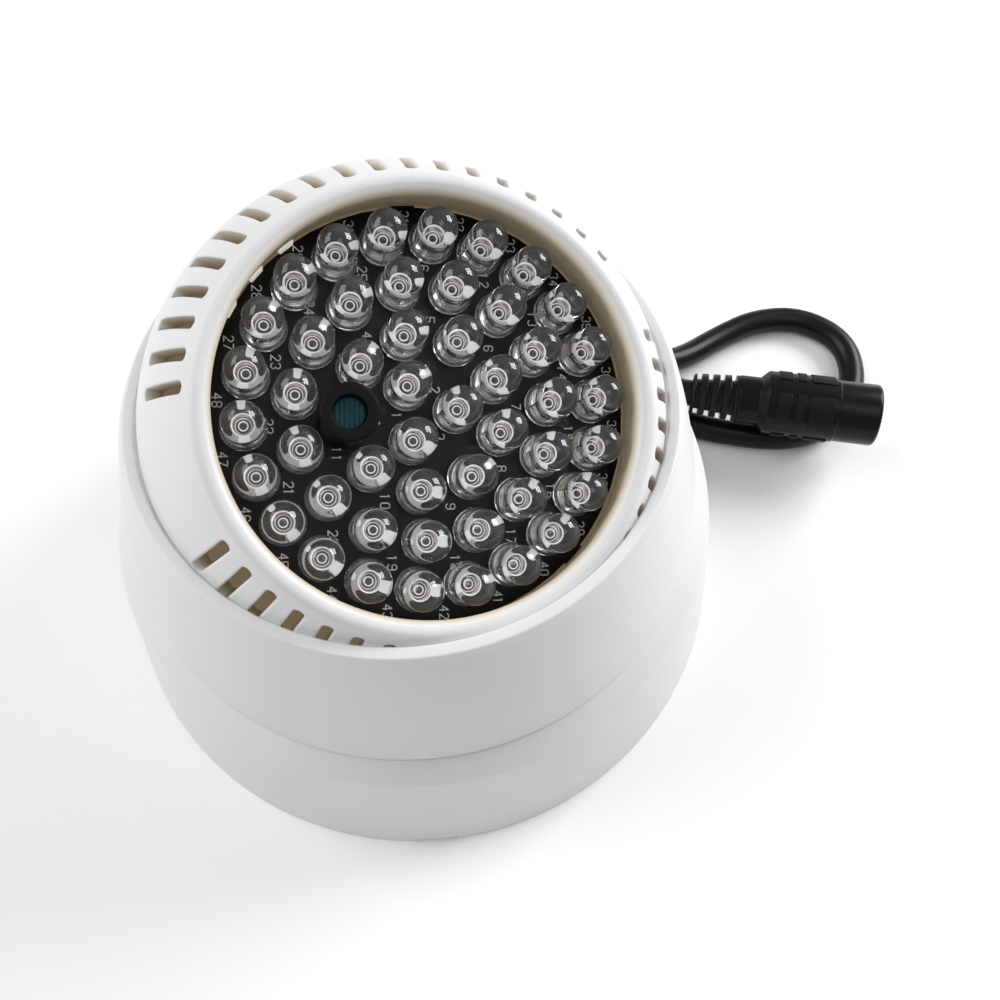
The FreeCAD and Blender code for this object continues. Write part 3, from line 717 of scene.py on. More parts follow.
def mesh_of(name: str, points: np.ndarray, faces: Faces) -> bpy.types.Mesh:
    """Mesh from points and their faces.

    Args:
        name: The mesh's name.
        points: Points in millimetres.
        faces: Corner numbers of each face.

    Returns:
        The mesh, in metres.
    """
    mesh = bpy.data.meshes.new(name)
    mesh.from_pydata((points * MM).tolist(), [], faces)
    return mesh


def linked(name: str, data: bpy.types.ID) -> bpy.types.Object:
    """New object of the scene.

    Args:
        name: The object's name.
        data: The mesh, curve, lamp or camera that it holds.

    Returns:
        The object.
    """
    obj = bpy.data.objects.new(name, data)
    bpy.context.scene.collection.objects.link(obj)
    return obj


def shaded(mesh: bpy.types.Mesh, crease: float) -> None:
    """Shade a mesh smooth, and leave its sharp edges sharp.

    Args:
        mesh: The mesh.
        crease: Edges sharper than this many degrees stay sharp.
    """
    mesh.polygons.foreach_set("use_smooth", np.ones(len(mesh.polygons), bool))
    mesh.update()
    mesh.set_sharp_from_angle(angle=math.radians(crease))


def piece(name: str, shape: Shape, place: Place, body: Body, finishes: list[Finish],
          marks: np.ndarray | None = None, crease: float = CREASE) -> bpy.types.Object:
    """Mesh object from a shape, in place, that rides on its body.

    Args:
        name: The piece's name.
        shape: Points in millimetres and faces.
        place: The frame that the points are in.
        body: The body that it moves with.
        finishes: One finish for each number in marks.
        marks: Each face's finish number, or None for the first one.
        crease: Edges sharper than this many degrees stay sharp.

    Returns:
        The object.
    """
    points, faces = shape
    mesh = mesh_of(name, placed(points, place), faces)
    for finish in finishes:
        mesh.materials.append(dressed(finish))
    if marks is not None:
        mesh.polygons.foreach_set("material_index", np.asarray(marks, np.int32))
    shaded(mesh, crease)
    obj = linked(name, mesh)
    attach(obj, body.value)
    log.info("%s: %d faces", name, len(faces))
    return obj


def carved(obj: bpy.types.Object, cutters: list[Shape], place: Place) -> None:
    """Cut shapes out of an object's mesh, for good.

    Args:
        obj: The piece.
        cutters: Closed shapes, in millimetres.
        place: The frame that they are in.
    """
    points, faces = joined(cutters)
    cutter = linked("cutter", mesh_of("cutter", placed(points, place), faces))
    cut = obj.modifiers.new("cut", "BOOLEAN")
    cut.operation = "DIFFERENCE"
    cut.solver = "EXACT"
    cut.object = cutter
    bpy.context.view_layer.update()
    graph = bpy.context.evaluated_depsgraph_get()
    result = bpy.data.meshes.new_from_object(obj.evaluated_get(graph))
    obj.modifiers.clear()
    old = obj.data
    obj.data = result
    bpy.data.meshes.remove(old)
    bpy.data.objects.remove(cutter)
    shaded(obj.data, CREASE)


def kept(node: str, finish: Finish) -> None:
    """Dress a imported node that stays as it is.

    Args:
        node: The node's name.
        finish: What it gets.
    """
    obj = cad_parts[node]
    if obj.material_slots:
        for place in obj.material_slots:
            place.material = dressed(finish)
    else:
        obj.data.materials.append(dressed(finish))
    log.info("%s: kept as packed", node)


def softened(obj: bpy.types.Object, width: float, steps: int = 2, angle: float = 40.0) -> None:
    """Round the sharp edges with a bevel.

    Args:
        obj: The piece.
        width: The bevel's width in millimetres.
        steps: Number of its chords.
        angle: Edges sharper than this many degrees get it.
    """
    bevel = obj.modifiers.new("edges", "BEVEL")
    bevel.width = width * MM
    bevel.segments = steps
    bevel.limit_method = "ANGLE"
    bevel.angle_limit = math.radians(angle)
    bevel.harden_normals = False


@dataclass
class Camera:
    """The photograph's camera, found from the rings of lamps and the rims."""

    spot: Triple = (-23.00, -66.33, 156.07)
    ahead: Triple = (0.2271, 0.3914, -0.8918)
    up: Triple = (0.4147, 0.7897, 0.4522)
    focal_px: float = 930.53
    frame_px: float = 1000.0
    sensor: float = 36.0
    near_m: float = 0.005
    far_m: float = 20.0

    def build(self) -> None:
        """Make the camera and give it to the scene."""
        data = bpy.data.cameras.new("camera")
        data.sensor_width = self.sensor
        data.lens = self.focal_px / self.frame_px * self.sensor
        data.clip_start = self.near_m
        data.clip_end = self.far_m
        obj = linked("camera", data)
        back = -Vector(self.ahead).normalized()
        right = Vector(self.up).cross(back).normalized()
        turn = Matrix((right, back.cross(right), back)).transposed().to_4x4()
        obj.matrix_world = Matrix.Translation(Vector(self.spot) * MM) @ turn
        bpy.context.scene.camera = obj


@dataclass
class Studio:
    """Pale floor, a pale world and square lamp panels that face the object."""

    floor_size: float = 3000.0
    floor_colour: Triple = (0.94, 0.94, 0.94)
    floor_spread: float = 0.004
    floor_waves: float = 3.0
    floor_rough: float = 0.75
    world_colour: Triple = (0.98, 0.99, 1.0)
    world_strength: float = 0.35
    aim: Triple = (10.0, 0.0, 30.0)
    panels: tuple[tuple[str, Triple, float, float], ...] = (
        ("key", (-480.0, 380.0, 520.0), 640.0, 4.6),
        ("fill", (560.0, 20.0, 330.0), 330.0, 3.8),
        ("front", (115.0, -300.0, 665.0), 320.0, 0.5))

    def build(self) -> None:
        """Make the floor, the world and the panels."""
        half = self.floor_size / 2
        corners = np.array([[-half, -half, 0], [half, -half, 0], [half, half, 0], [-half, half, 0]], float)
        mesh = mesh_of("floor", corners, [[0, 1, 2, 3]])
        nodes = Nodes("floor")
        nodes.tint(self.floor_colour, self.floor_spread, self.floor_waves)
        nodes.set(Roughness=self.floor_rough)
        mesh.materials.append(nodes.material)
        linked("floor", mesh)
        world = bpy.data.worlds.new("studio")
        world.use_nodes = True
        back = world.node_tree.nodes["Background"]
        back.inputs["Color"].default_value = (*self.world_colour, 1.0)
        back.inputs["Strength"].default_value = self.world_strength
        bpy.context.scene.world = world
        for name, spot, size, power in self.panels:
            self.panel(name, spot, size, power)
        view = bpy.context.scene.view_settings
        view.view_transform = "Standard"
        view.look = "None"

    def panel(self, name: str, spot: Triple, size: float, power: float) -> None:
        """Square lamp panel that faces the object.

        Args:
            name: The lamp's name.
            spot: Its place, in millimetres.
            size: Its side, in millimetres.
            power: Its power in watts.
        """
        data = bpy.data.lights.new(name, "AREA")
        data.shape = "SQUARE"
        data.size = size * MM
        data.energy = power
        obj = linked(name, data)
        place = Vector(spot) * MM
        obj.location = place
        obj.rotation_euler = (Vector(self.aim) * MM - place).to_track_quat("-Z", "Y").to_euler()


@dataclass
class Lead:
    """Free lead: its route, which repeats the part's own, up to the socket on its end."""

    corners: tuple[Triple, ...] = (
        (34.6, 65.0, 8.8), (47.3, 68.0, 4.6), (58.0, 60.3, 2.4), (59.6, 45.5, 2.4),
        (58.2, 31.0, 2.4), (54.7, 18.5, 2.4), (53.0, 9.5, 2.4), (53.4, 0.9, 2.4),
        (65.5, -9.6, 2.4), (74.8, -14.2, 2.4), (84.3, -13.4, 2.4), (92.0, -7.6, 2.4),
        (95.4, 1.0, 2.4), (90.8, 9.6, 2.4), (82.0, 13.3, 2.4), (72.6, 13.1, 2.4),
        (63.6, 11.6, 3.6), (57.2, 11.6, 5.9), (54.4, 9.7, 7.8), (53.5, 6.5, 8.5),
        (54.3, 3.4, 9.1))
    lead_out: float = 5.0
    length: float = 209.3
    round_steps: int = 8
    course_steps: int = 14
    spline_order: int = 3

    def build(self, with_pieces: list[bpy.types.Object | str]) -> bpy.types.Object:
        """Args:
            with_pieces: The pieces on its end; not used.

        Returns:
            The curve.
        """
        exits = np.array([[0.0, 0.0, GROMMET_LEN], [0.0, 0.0, GROMMET_LEN + self.lead_out]])
        line = np.vstack([placed(exits, Place.WALL), self.corners, SOCKET_START]) * MM
        curve = bpy.data.curves.new("lead", "CURVE")
        curve.dimensions = "3D"
        curve.bevel_depth = CORD_R * MM
        curve.bevel_resolution = self.round_steps
        curve.use_fill_caps = True
        curve.resolution_u = self.course_steps
        spline = curve.splines.new("NURBS")
        spline.points.add(len(line) - 1)
        spline.points.foreach_set("co", np.column_stack([line, np.ones(len(line))]).ravel())
        spline.order_u = self.spline_order
        spline.use_endpoint_u = True
        curve.materials.append(dressed(JACKET))
        obj = linked("lead", curve)
        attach(obj, Body.BASE.value)
        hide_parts("cord")
        log.info("lead: %d route points", len(line))
        return obj


@dataclass
class Socket:
    """Inline socket: ribbed strain relief, neck, grip with raised bars, and a bored barrel.

    Each bar is given by its start along the grip and its length.
    """

    relief_len: float = 8.4
    relief_start_r: float = 3.7
    relief_end_r: float = 4.3
    ribs: int = 4
    rib_slot: float = 0.9
    rib_depth: float = 1.0
    neck_len: float = 3.8
    neck_r: float = 4.4
    shoulder_len: float = 1.4
    grip_r: float = 5.8
    grip_len: float = 12.4
    grip_step: float = 0.2
    barrel_r: float = 5.6
    bore_r: float = 3.3
    bore_depth: float = 11.0
    bar_h: float = 0.24
    bar_depth: float = 0.7
    bar_half_angle: float = 30.0
    bar_steps: int = 13
    bar_angles: tuple[float, ...] = (45.0, 135.0, 225.0, 315.0)
    bars: tuple[Pair, ...] = ((1.7, 2.3), (5.0, 1.5), (7.4, 4.2))
    edge: float = 0.12
    relief_segments: int = 64
    body_segments: int = 96

    def build(self) -> list[bpy.types.Object]:
        """Make the strain relief and the body.

        Returns:
            Both pieces.
        """
        return [self.relief(), self.body()]

    def relief(self) -> bpy.types.Object:
        """Make the tapered strain relief: ribs with grooves between them, r = start + taper z.

        Returns:
            The piece.
        """
        pitch = self.relief_len / self.ribs
        taper = (self.relief_end_r - self.relief_start_r) / self.relief_len
        outline = [(0, 0, 0), (self.relief_start_r, 0, 0.5)]
        for k in range(self.ribs):
            for side in (-1, 1):
                z = pitch * (k + 0.5) + side * self.rib_slot / 2
                edge = (self.relief_start_r + taper * z, z, 0.12)
                floor = (self.relief_start_r + taper * z - self.rib_depth, z, 0.15)
                outline += [edge, floor] if side < 0 else [floor, edge]
        outline += [(self.relief_end_r, self.relief_len, 0), (0, self.relief_len, 0)]
        obj = piece("socket_strain_relief", turned(rounded(outline), self.relief_segments), Place.SOCKET,
                    Body.BASE, [JACKET])
        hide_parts("jack_strain_relief")
        return obj

    def body(self) -> bpy.types.Object:
        """Make the moulded body and the raised bars on four sides of its grip.

        Returns:
            The piece.
        """
        neck_end = self.relief_len + self.neck_len
        grip = neck_end + self.shoulder_len
        grip_end = grip + self.grip_len
        floor = SOCKET_LEN - self.bore_depth
        outline = rounded([
            (0, self.relief_len, 0), (self.neck_r, self.relief_len, 0.3), (self.neck_r, neck_end, 0.5),
            (self.grip_r, grip, 0.6), (self.grip_r, grip_end, 0.05),
            (self.barrel_r, grip_end + self.grip_step, 0.05), (self.barrel_r, SOCKET_LEN, 0.7),
            (self.bore_r, SOCKET_LEN, 0.3), (self.bore_r, floor, 0), (0, floor, 0)])
        shapes = [turned(outline, self.body_segments)]
        marks = [0] * len(shapes[0][1])
        radii = (self.grip_r + self.bar_h, self.grip_r - self.bar_depth)
        for low, length in self.bars:
            heights = (grip + low, grip + low + length)
            plate = sector(radii, self.bar_half_angle, self.bar_steps, heights)
            shapes += [moved(plate, a) for a in self.bar_angles]
            marks += [1] * (len(self.bar_angles) * len(plate[1]))
        obj = piece("socket_body", joined(shapes), Place.SOCKET, Body.BASE, [SOCKET, PAD],
                    np.array(marks))
        softened(obj, self.edge)
        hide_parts("jack_body")
        return obj


@dataclass
class Base:
    """Flared base with a recessed floor and a slotted tower.

    The notch in its foot and the tower's slot are given as length, width and corner. The ways
    let the collar's lugs down through the flange.
    """

    seam_z: float = 27.0
    wall: float = 2.2
    wall_step: float = 0.1
    flange_w: float = 2.2
    floor_z: float = 2.0
    floor_t: float = 2.0
    tower_r: float = 36.0
    tower_wall: float = 2.0
    tower_top: float = 20.0
    tower_slot: Triple = (6.0, 4.0, 0.3)
    tower_slot_h: float = 6.0
    notch: Triple = (10.0, 6.7, 0.4)
    notch_angle: float = -114.0
    notch_in: float = 2.0
    notch_h: float = 1.2
    screw_r: float = 2.1
    screw_circle: float = 40.0
    screw_first: float = 150.0
    screw_segments: int = 40
    way_first: float = 102.0
    way_half_angle: float = 8.0
    way_in: float = 1.0
    way_steps: int = 9
    lug_gap: float = 0.4
    lug_reach: float = 1.7
    lead_hole_r: float = 3.5
    lead_hole_half: float = 4.4
    lead_hole_segments: int = 48
    past: float = 1.0
    hair: float = 0.01
    segments: int = 288

    def build(self) -> None:
        """Make the base: its section turned about Z, and the openings cut from it."""
        flange_r = SEAM_R - self.flange_w
        under = self.seam_z - self.wall
        shoulder = SHOULDER_Z + TOP_R - self.wall * math.sqrt(2)
        wall_top = TOP_R - self.wall + self.wall_step
        floor_top = self.floor_z + self.floor_t
        inner_foot = FOOT_R - self.wall
        tower_in = self.tower_r - self.tower_wall
        outline = rounded([
            (0, self.floor_z, 0), (inner_foot, self.floor_z, 0.3), (inner_foot, 0, 0.2), (FOOT_R, 0, 0.5),
            (TOP_R, SHOULDER_Z, 1.3), (SEAM_R, self.seam_z, 0.45), (flange_r, self.seam_z, 0.3),
            (flange_r, under, 0.2), (shoulder - under, under, 0.2), (wall_top, shoulder - wall_top, 0.2),
            (FOOT_R - BASE_SLOPE * floor_top - self.wall, floor_top, 0.5), (self.tower_r, floor_top, 0.4),
            (self.tower_r, self.tower_top, 0.4), (tower_in, self.tower_top, 0.4),
            (tower_in, floor_top, 0.4), (0, floor_top, 0)])
        obj = piece("base_housing", turned(outline, self.segments), Place.OBJECT, Body.BASE,
                    [SHELL])
        carved(obj, self.cutters(flange_r, under, floor_top), Place.OBJECT)
        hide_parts("base_shell")

    def cutters(self, flange_r: float, under: float, floor_top: float) -> list[Shape]:
        """Shapes of the notch, screw holes, lug ways, tower slot and lead hole.

        Args:
            flange_r: The hole in the base's top.
            under: Height of the flange's underside.
            floor_top: Height of the floor's top.

        Returns:
            Closed shapes, which run past what they cut.
        """
        notch = bar(oblong(*self.notch, 4), -self.past, self.notch_h)
        cuts = [moved(notch, self.notch_angle, FOOT_R - self.notch_in)]
        radii = (flange_r - self.way_in, flange_r - self.lug_gap + self.lug_reach)
        heights = (under - self.lug_gap, self.seam_z + self.past)
        way = sector(radii, self.way_half_angle, self.way_steps, heights)
        screw = disc(self.screw_r, self.screw_segments, -self.past, floor_top + self.past)
        for k in range(LUGS):
            cuts.append(moved(screw, self.screw_first + LUG_PITCH * k, self.screw_circle))
            cuts.append(moved(way, self.way_first + LUG_PITCH * k))
        slot = bar(oblong(*self.tower_slot, 4), floor_top + self.hair, floor_top + self.tower_slot_h)
        cuts.append(moved(slot, LEAD_TURN, self.tower_r - self.tower_wall / 2))
        half = self.lead_hole_half
        spots, faces = disc(self.lead_hole_r, self.lead_hole_segments, -half, half)
        return [*cuts, (placed(spots, Place.WALL), faces)]


@dataclass
class Grommet:
    """Rubber grommet in the base's wall: a flange on either side of it and a tapered nozzle."""

    flange_r: float = 4.6
    neck_r: float = 3.4
    nozzle_r: float = 4.0
    tip_r: float = 3.2
    back: float = -3.4
    back_flange: float = -2.5
    face: float = 0.05
    front_flange: float = 1.2
    segments: int = 64

    def build(self) -> None:
        """Make the grommet in the wall's frame, where Z points out of the wall."""
        outline = rounded([
            (0, self.back, 0), (self.flange_r, self.back, 0.3), (self.flange_r, self.back_flange, 0.15),
            (self.neck_r, self.back_flange, 0), (self.neck_r, self.face, 0), (self.flange_r, self.face, 0.1),
            (self.flange_r, self.front_flange, 0.4), (self.nozzle_r, self.front_flange, 0.3),
            (self.tip_r, GROMMET_LEN, 0.5), (0, GROMMET_LEN, 0)])
        obj = piece("lead_grommet", turned(outline, self.segments), Place.WALL, Body.BASE,
                    [RUBBER])
        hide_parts("cord_grommet")


@dataclass
class Collar:
    """Domed collar that twists onto the base."""

    low: float = 27.2
    mid_r: float = 41.2
    mid_z: float = 39.2
    lip_r: float = 37.7
    lip_z: float = 50.4
    top: float = 51.3
    lip_w: float = 0.7
    ball_gap: float = 0.3
    bore_flare: float = 1.1
    bore_h: float = 4.8
    wall: float = 2.8
    wall_low: float = 3.0
    skirt_r: float = 41.2
    skirt_wall: float = 1.8
    skirt_top: float = 1.7
    foot: float = 22.6
    lug_heights: Pair = (23.2, 24.5)
    lug_root: float = 0.5
    lug_reach: float = 1.4
    lug_half_angle: float = 7.0
    lug_steps: int = 9
    lug_first: float = 84.0
    side_margin: float = 0.6
    side_rows: int = 28
    inside_depth: float = 1.5
    rim_depth: float = 0.3
    segments: int = 288

    def build(self) -> None:
        """Make the collar, whose side is a parabola through three radii, with its three lugs.

        Faces that lie deeper than inside_depth within the side, and below its rim, are its inside.
        """
        bore = math.sqrt((BALL_R + self.ball_gap) ** 2 - (self.top - BALL_CENTRE[2]) ** 2)
        heights = np.array([self.low, self.mid_z, self.lip_z])
        bow = np.polyfit(heights, [SEAM_R, self.mid_r, self.lip_r], 2)
        z = np.linspace(self.low + self.side_margin, self.lip_z - self.side_margin, self.side_rows)
        side = [(float(np.polyval(bow, h)), float(h), 0.0) for h in z]
        inside = self.skirt_r - self.skirt_wall
        outline = rounded([
            (SEAM_R, self.low, 0.4), *side, (self.lip_r, self.lip_z, 0.3),
            (self.lip_r - self.lip_w, self.top, 0.4), (bore, self.top, 0.3),
            (bore + self.bore_flare, self.top - self.bore_h, 0.5),
            (SEAM_R - self.wall, self.low + self.wall_low, 0.5), (inside, self.low + self.skirt_top, 0.3),
            (inside, self.foot, 0.3), (self.skirt_r, self.foot, 0.3), (self.skirt_r, self.low, 0.1)])
        points, faces = turned(outline, self.segments)
        spread = np.hypot(points[:, 0], points[:, 1])
        middles = np.array([(spread[ring].mean(), points[ring, 2].mean()) for ring in faces])
        deep = middles[:, 0] < np.polyval(bow, middles[:, 1]) - self.inside_depth
        marks = deep & (middles[:, 1] < self.top - self.rim_depth)
        radii = (self.skirt_r - self.lug_root, self.skirt_r + self.lug_reach)
        lug = sector(radii, self.lug_half_angle, self.lug_steps, self.lug_heights)
        lugs = joined([moved(lug, self.lug_first + LUG_PITCH * k) for k in range(LUGS)])
        obj = piece("collar", joined([(points, faces), lugs]), Place.OBJECT, Body.COLLAR,
                    [SHELL, BACKLIT], np.concatenate([marks, np.zeros(len(lugs[1]))]))
        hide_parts("collar_ring")


@dataclass
class SlottedShell:
    """Front half of the ball: round-lipped opening and two runs of vent slots.

    Angles are in degrees: slot_low and slot_high are latitudes on the ball, and plain lists the
    pitches without a slot. The nubs are given as length, width and corner.
    """

    opening_r: float = 25.6
    lip: float = 1.4
    lip_end: float = 178.0
    lip_rows: int = 13
    lip_tan_rows: int = 5
    funnel_r: float = 27.0
    funnel_h: float = 14.3
    funnel_t: float = 1.3
    funnel_rows: int = 7
    parting: float = 0.15
    parting_row: float = 0.4
    pitches: int = 48
    first_slot: float = 17.55
    slot_low: float = 20.5
    slot_high: float = 37.3
    slot_w: float = 1.5
    slot_corner: float = 0.72
    slot_edge: float = 0.26
    edge_turns: tuple[float, ...] = (30.0, 60.0, 90.0)
    slot_beyond: float = 0.8
    slot_end_rows: int = 6
    slot_side_rows: int = 8
    low_from: float = 2.0
    low_rows: int = 9
    high_rows: int = 4
    inner_high_rows: int = 3
    inner_low_rows: int = 8
    plain: tuple[int, ...] = (19, 20, 21, 22, 46, 47)
    between: int = 3
    boss_r: float = 2.6
    boss_top: float = 13.5
    boss_segments: int = 24
    nub: Triple = (1.3, 2.2, 0.2)
    nub_h: float = 1.3
    nub_out: float = 0.15
    nub_angles: tuple[float, ...] = (105.6, 116.5, 128.0)

    def profile(self) -> tuple[np.ndarray, np.ndarray, np.ndarray, tuple[int, int], tuple[int, int]]:
        """Outline of the shell's section as a closed loop, with the rows that the slots take.

        It runs up the outside, round the lip, down the funnel, and back down the inside.

        Returns:
            (radius, height) of each row, half the slot line's width at each row, the finish
            number of each row, and the first and last slot rows outside and inside.
        """
        inner_r = BALL_R - BALL_WALL
        wide_lat, wide_half = self.slot_rows(self.slot_edge)
        slot_lat, slot_half = self.slot_rows(0.0)
        lip_middle = np.array([self.opening_r + self.lip, 0.0])
        lip_middle[1] = math.sqrt((BALL_R - self.lip) ** 2 - lip_middle[0] ** 2)
        tangent = math.degrees(math.atan2(lip_middle[1], lip_middle[0]))
        low = math.degrees(math.asin(self.parting / BALL_R))
        inner_low = math.degrees(math.asin(self.parting / inner_r))
        rows, halves = [], []

        def add(line: np.ndarray, half: np.ndarray | float = self.slot_w / 2 - self.slot_corner) -> int:
            """Add rows to the outline.

            Args:
                line: (radius, height) of each.
                half: Half the slot line's width there.

            Returns:
                How many rows were there before.
            """
            before = sum(map(len, rows))
            rows.append(line)
            halves.append(np.broadcast_to(half, len(line)))
            return before

        up = np.linspace(self.low_from, wide_lat[0], self.low_rows)[:-1]
        add(BALL_R * on_circle(np.concatenate([[low, low + self.parting_row], up])))
        first = add(BALL_R * on_circle(wide_lat), wide_half)
        add(BALL_R * on_circle(np.linspace(wide_lat[-1], tangent, self.high_rows)[1:-1]))
        lip_turn = np.linspace(tangent, self.lip_end, self.lip_rows)
        add(lip_middle + self.lip * on_circle(lip_turn))
        down = np.linspace(0, 1, self.funnel_rows + 1)[1:, None]
        foot = np.array([[self.funnel_r, self.funnel_h]])
        funnel = add(down * foot + (1 - down) * rows[-1][-1])
        back = add(foot + [self.funnel_t, 0])
        beyond = np.linspace(self.slot_high + self.slot_beyond, self.slot_high, self.inner_high_rows)
        add(inner_r * on_circle(beyond[:-1]))
        second = add(inner_r * on_circle(slot_lat[::-1]), slot_half[::-1])
        add(inner_r * on_circle(np.linspace(self.slot_low, inner_low, self.inner_low_rows)[1:]))
        line = np.vstack(rows)
        finish = np.full(len(line), ShellFace.OUTSIDE)
        # The funnel and the lip's last rows take the funnel's painted shade, the rows after them the
        # inside's.
        finish[funnel - 1 - self.lip_tan_rows:] = ShellFace.FUNNEL
        finish[back:] = ShellFace.INSIDE
        slot_rows = len(wide_lat) - 1
        return line, np.concatenate(halves), finish, (first, first + slot_rows), (second, second + slot_rows)

    def slot_rows(self, spread: float) -> tuple[np.ndarray, np.ndarray]:
        """Latitudes and half widths along a slot that is larger all round by a spread.

        Its ends are arcs of radius c: at a distance d < c from the end, the half width is short
        of the full one by c - sqrt(c^2 - (c - d)^2).

        Args:
            spread: How much larger it is, in millimetres.

        Returns:
            The latitudes in degrees and the half widths in millimetres.
        """
        c = self.slot_corner + spread
        span = math.radians(self.slot_high - self.slot_low) * BALL_R + 2 * spread
        turn = np.linspace(0, math.pi / 2, self.slot_end_rows)
        s = np.concatenate([c * (1 - np.cos(turn)), np.linspace(c, span - c, self.slot_side_rows)[1:-1],
                            span - c + c * np.sin(turn)])
        short = np.clip(c - np.minimum(s, span - s), 0, c)
        half = self.slot_w / 2 + spread - c + np.sqrt(c ** 2 - short ** 2)
        return self.slot_low + np.degrees((s - spread) / BALL_R), half

    def build(self) -> None:
        """Make the shell: a grid of section rows and columns round, with slots left out.

        A column beside a slot stands off the slot's middle by asin(half width / radius), so the
        slot's sides are parallel and its ends round. Walls with a rounded edge join the outer
        and inner loops.
        """
        line, half, finish, outer, inner = self.profile()
        r, h = line.T
        side = np.arcsin(np.clip(half / r, -1, 1))
        pitch = 2 * math.pi / self.pitches
        gap = pitch - 2 * side
        steps = [-side, 0 * side, side]
        steps += [side + gap * (k + 1) / (self.between + 1) for k in range(self.between)]
        local = np.stack(steps, axis=1)
        width = local.shape[1]
        middles = math.radians(self.first_slot) + pitch * np.arange(self.pitches)
        a = (middles[None, :, None] + local[:, None, :]).reshape(len(line), -1)
        points = np.stack([r[:, None] * np.cos(a), r[:, None] * np.sin(a), h[:, None] + 0 * a], axis=-1)
        columns = self.pitches * width
        cells = grid_faces(len(line), columns, True).reshape(len(line), columns, 4)
        keep = np.ones((len(line), columns), bool)
        slotted = np.array([k for k in range(self.pitches) if k not in self.plain])
        for first, last in (outer, inner):
            for k in (0, 1):
                keep[first:last, slotted * width + k] = False
        marks = np.broadcast_to(finish[:, None], keep.shape)[keep]
        points, walls, wall_marks = self.walls(points.reshape(-1, 3), middles[slotted], slotted * width,
                                               columns, outer, inner)
        every = np.vstack([cells[keep], walls])
        bosses, nubs = self.inside_parts()
        shape = joined([(points, outward(points, every.tolist())), bosses, nubs])
        # The bosses take the inside's painted shade, the nubs their painted light.
        marks = np.concatenate([marks, wall_marks, np.full(len(bosses[1]), ShellFace.INSIDE),
                                np.full(len(nubs[1]), ShellFace.NUB)])
        obj = piece("ball_front", shape, Place.BALL, Body.BALL,
                    [SHELL, INSIDE, FUNNEL, SLOT_WALL_PAINTED_SHADE, NUB], marks)
        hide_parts("ball_front_shell")

    def walls(self, points: np.ndarray, middles: np.ndarray, starts: np.ndarray, columns: int,
              outer: tuple[int, int], inner: tuple[int, int]) -> tuple[np.ndarray, np.ndarray, np.ndarray]:
        """The slots' walls: from the outer loop round an edge of radius e, then straight in.

        At the turn t the loop is e (1 - sin t) larger all round, e (1 - cos t) under the surface.

        Args:
            points: The grid's points.
            middles: The angle of each slot's middle.
            starts: The first column of each slot.
            columns: Number of columns round.
            outer: First and last slot rows outside.
            inner: The same inside, where the rows run the other way.

        Returns:
            All points, four corner numbers a row, and each face's finish number.
        """
        up = np.arange(outer[0], outer[1] + 1)
        loop = np.array([(j, 2) for j in up] + [(outer[1], 1)] + [(j, 0) for j in up[::-1]] + [(outer[0], 1)])
        row, side = loop[:, 0] - outer[0], loop[:, 1] - 1
        chain = [loop[:, 0] * columns + loop[:, 1] + starts[:, None]]
        for turn in np.radians(self.edge_turns):
            radius = BALL_R - self.slot_edge * (1 - math.cos(turn))
            degrees, half = self.slot_rows(self.slot_edge * (1 - math.sin(turn)))
            lat = np.radians(degrees[row])
            a = middles[:, None] + side * np.arcsin(half[row] / (radius * np.cos(lat)))
            ring = radius * np.stack([np.cos(lat) * np.cos(a), np.cos(lat) * np.sin(a),
                                      np.sin(lat) + 0 * a], axis=-1)
            chain.append(len(points) + np.arange(ring.shape[0] * ring.shape[1]).reshape(ring.shape[:2]))
            points = np.vstack([points, ring.reshape(-1, 3)])
        chain.append((inner[1] - row) * columns + loop[:, 1] + starts[:, None])
        quads = [np.stack([a, b, np.roll(b, -1, 1), np.roll(a, -1, 1)], axis=-1).reshape(-1, 4)
                 for a, b in zip(chain, chain[1:])]
        # The slots' walls take the painted shade that deepens inwards.
        marks = np.full(sum(map(len, quads)), ShellFace.SLOT)
        return points, np.vstack(quads), marks

    def inside_parts(self) -> tuple[Shape, Shape]:
        """The screw bosses, and the nubs at the funnel's foot that press on the board's edge.

        Returns:
            The bosses and the nubs.
        """
        boss = disc(self.boss_r, self.boss_segments, self.parting, self.boss_top)
        nub = bar(oblong(*self.nub, 4), self.funnel_h, self.funnel_h + self.nub_h)
        return (joined([moved(boss, a, BOSS_CIRCLE) for a in BOSS_ANGLES]),
                joined([moved(nub, a, self.funnel_r + self.nub_out) for a in self.nub_angles]))


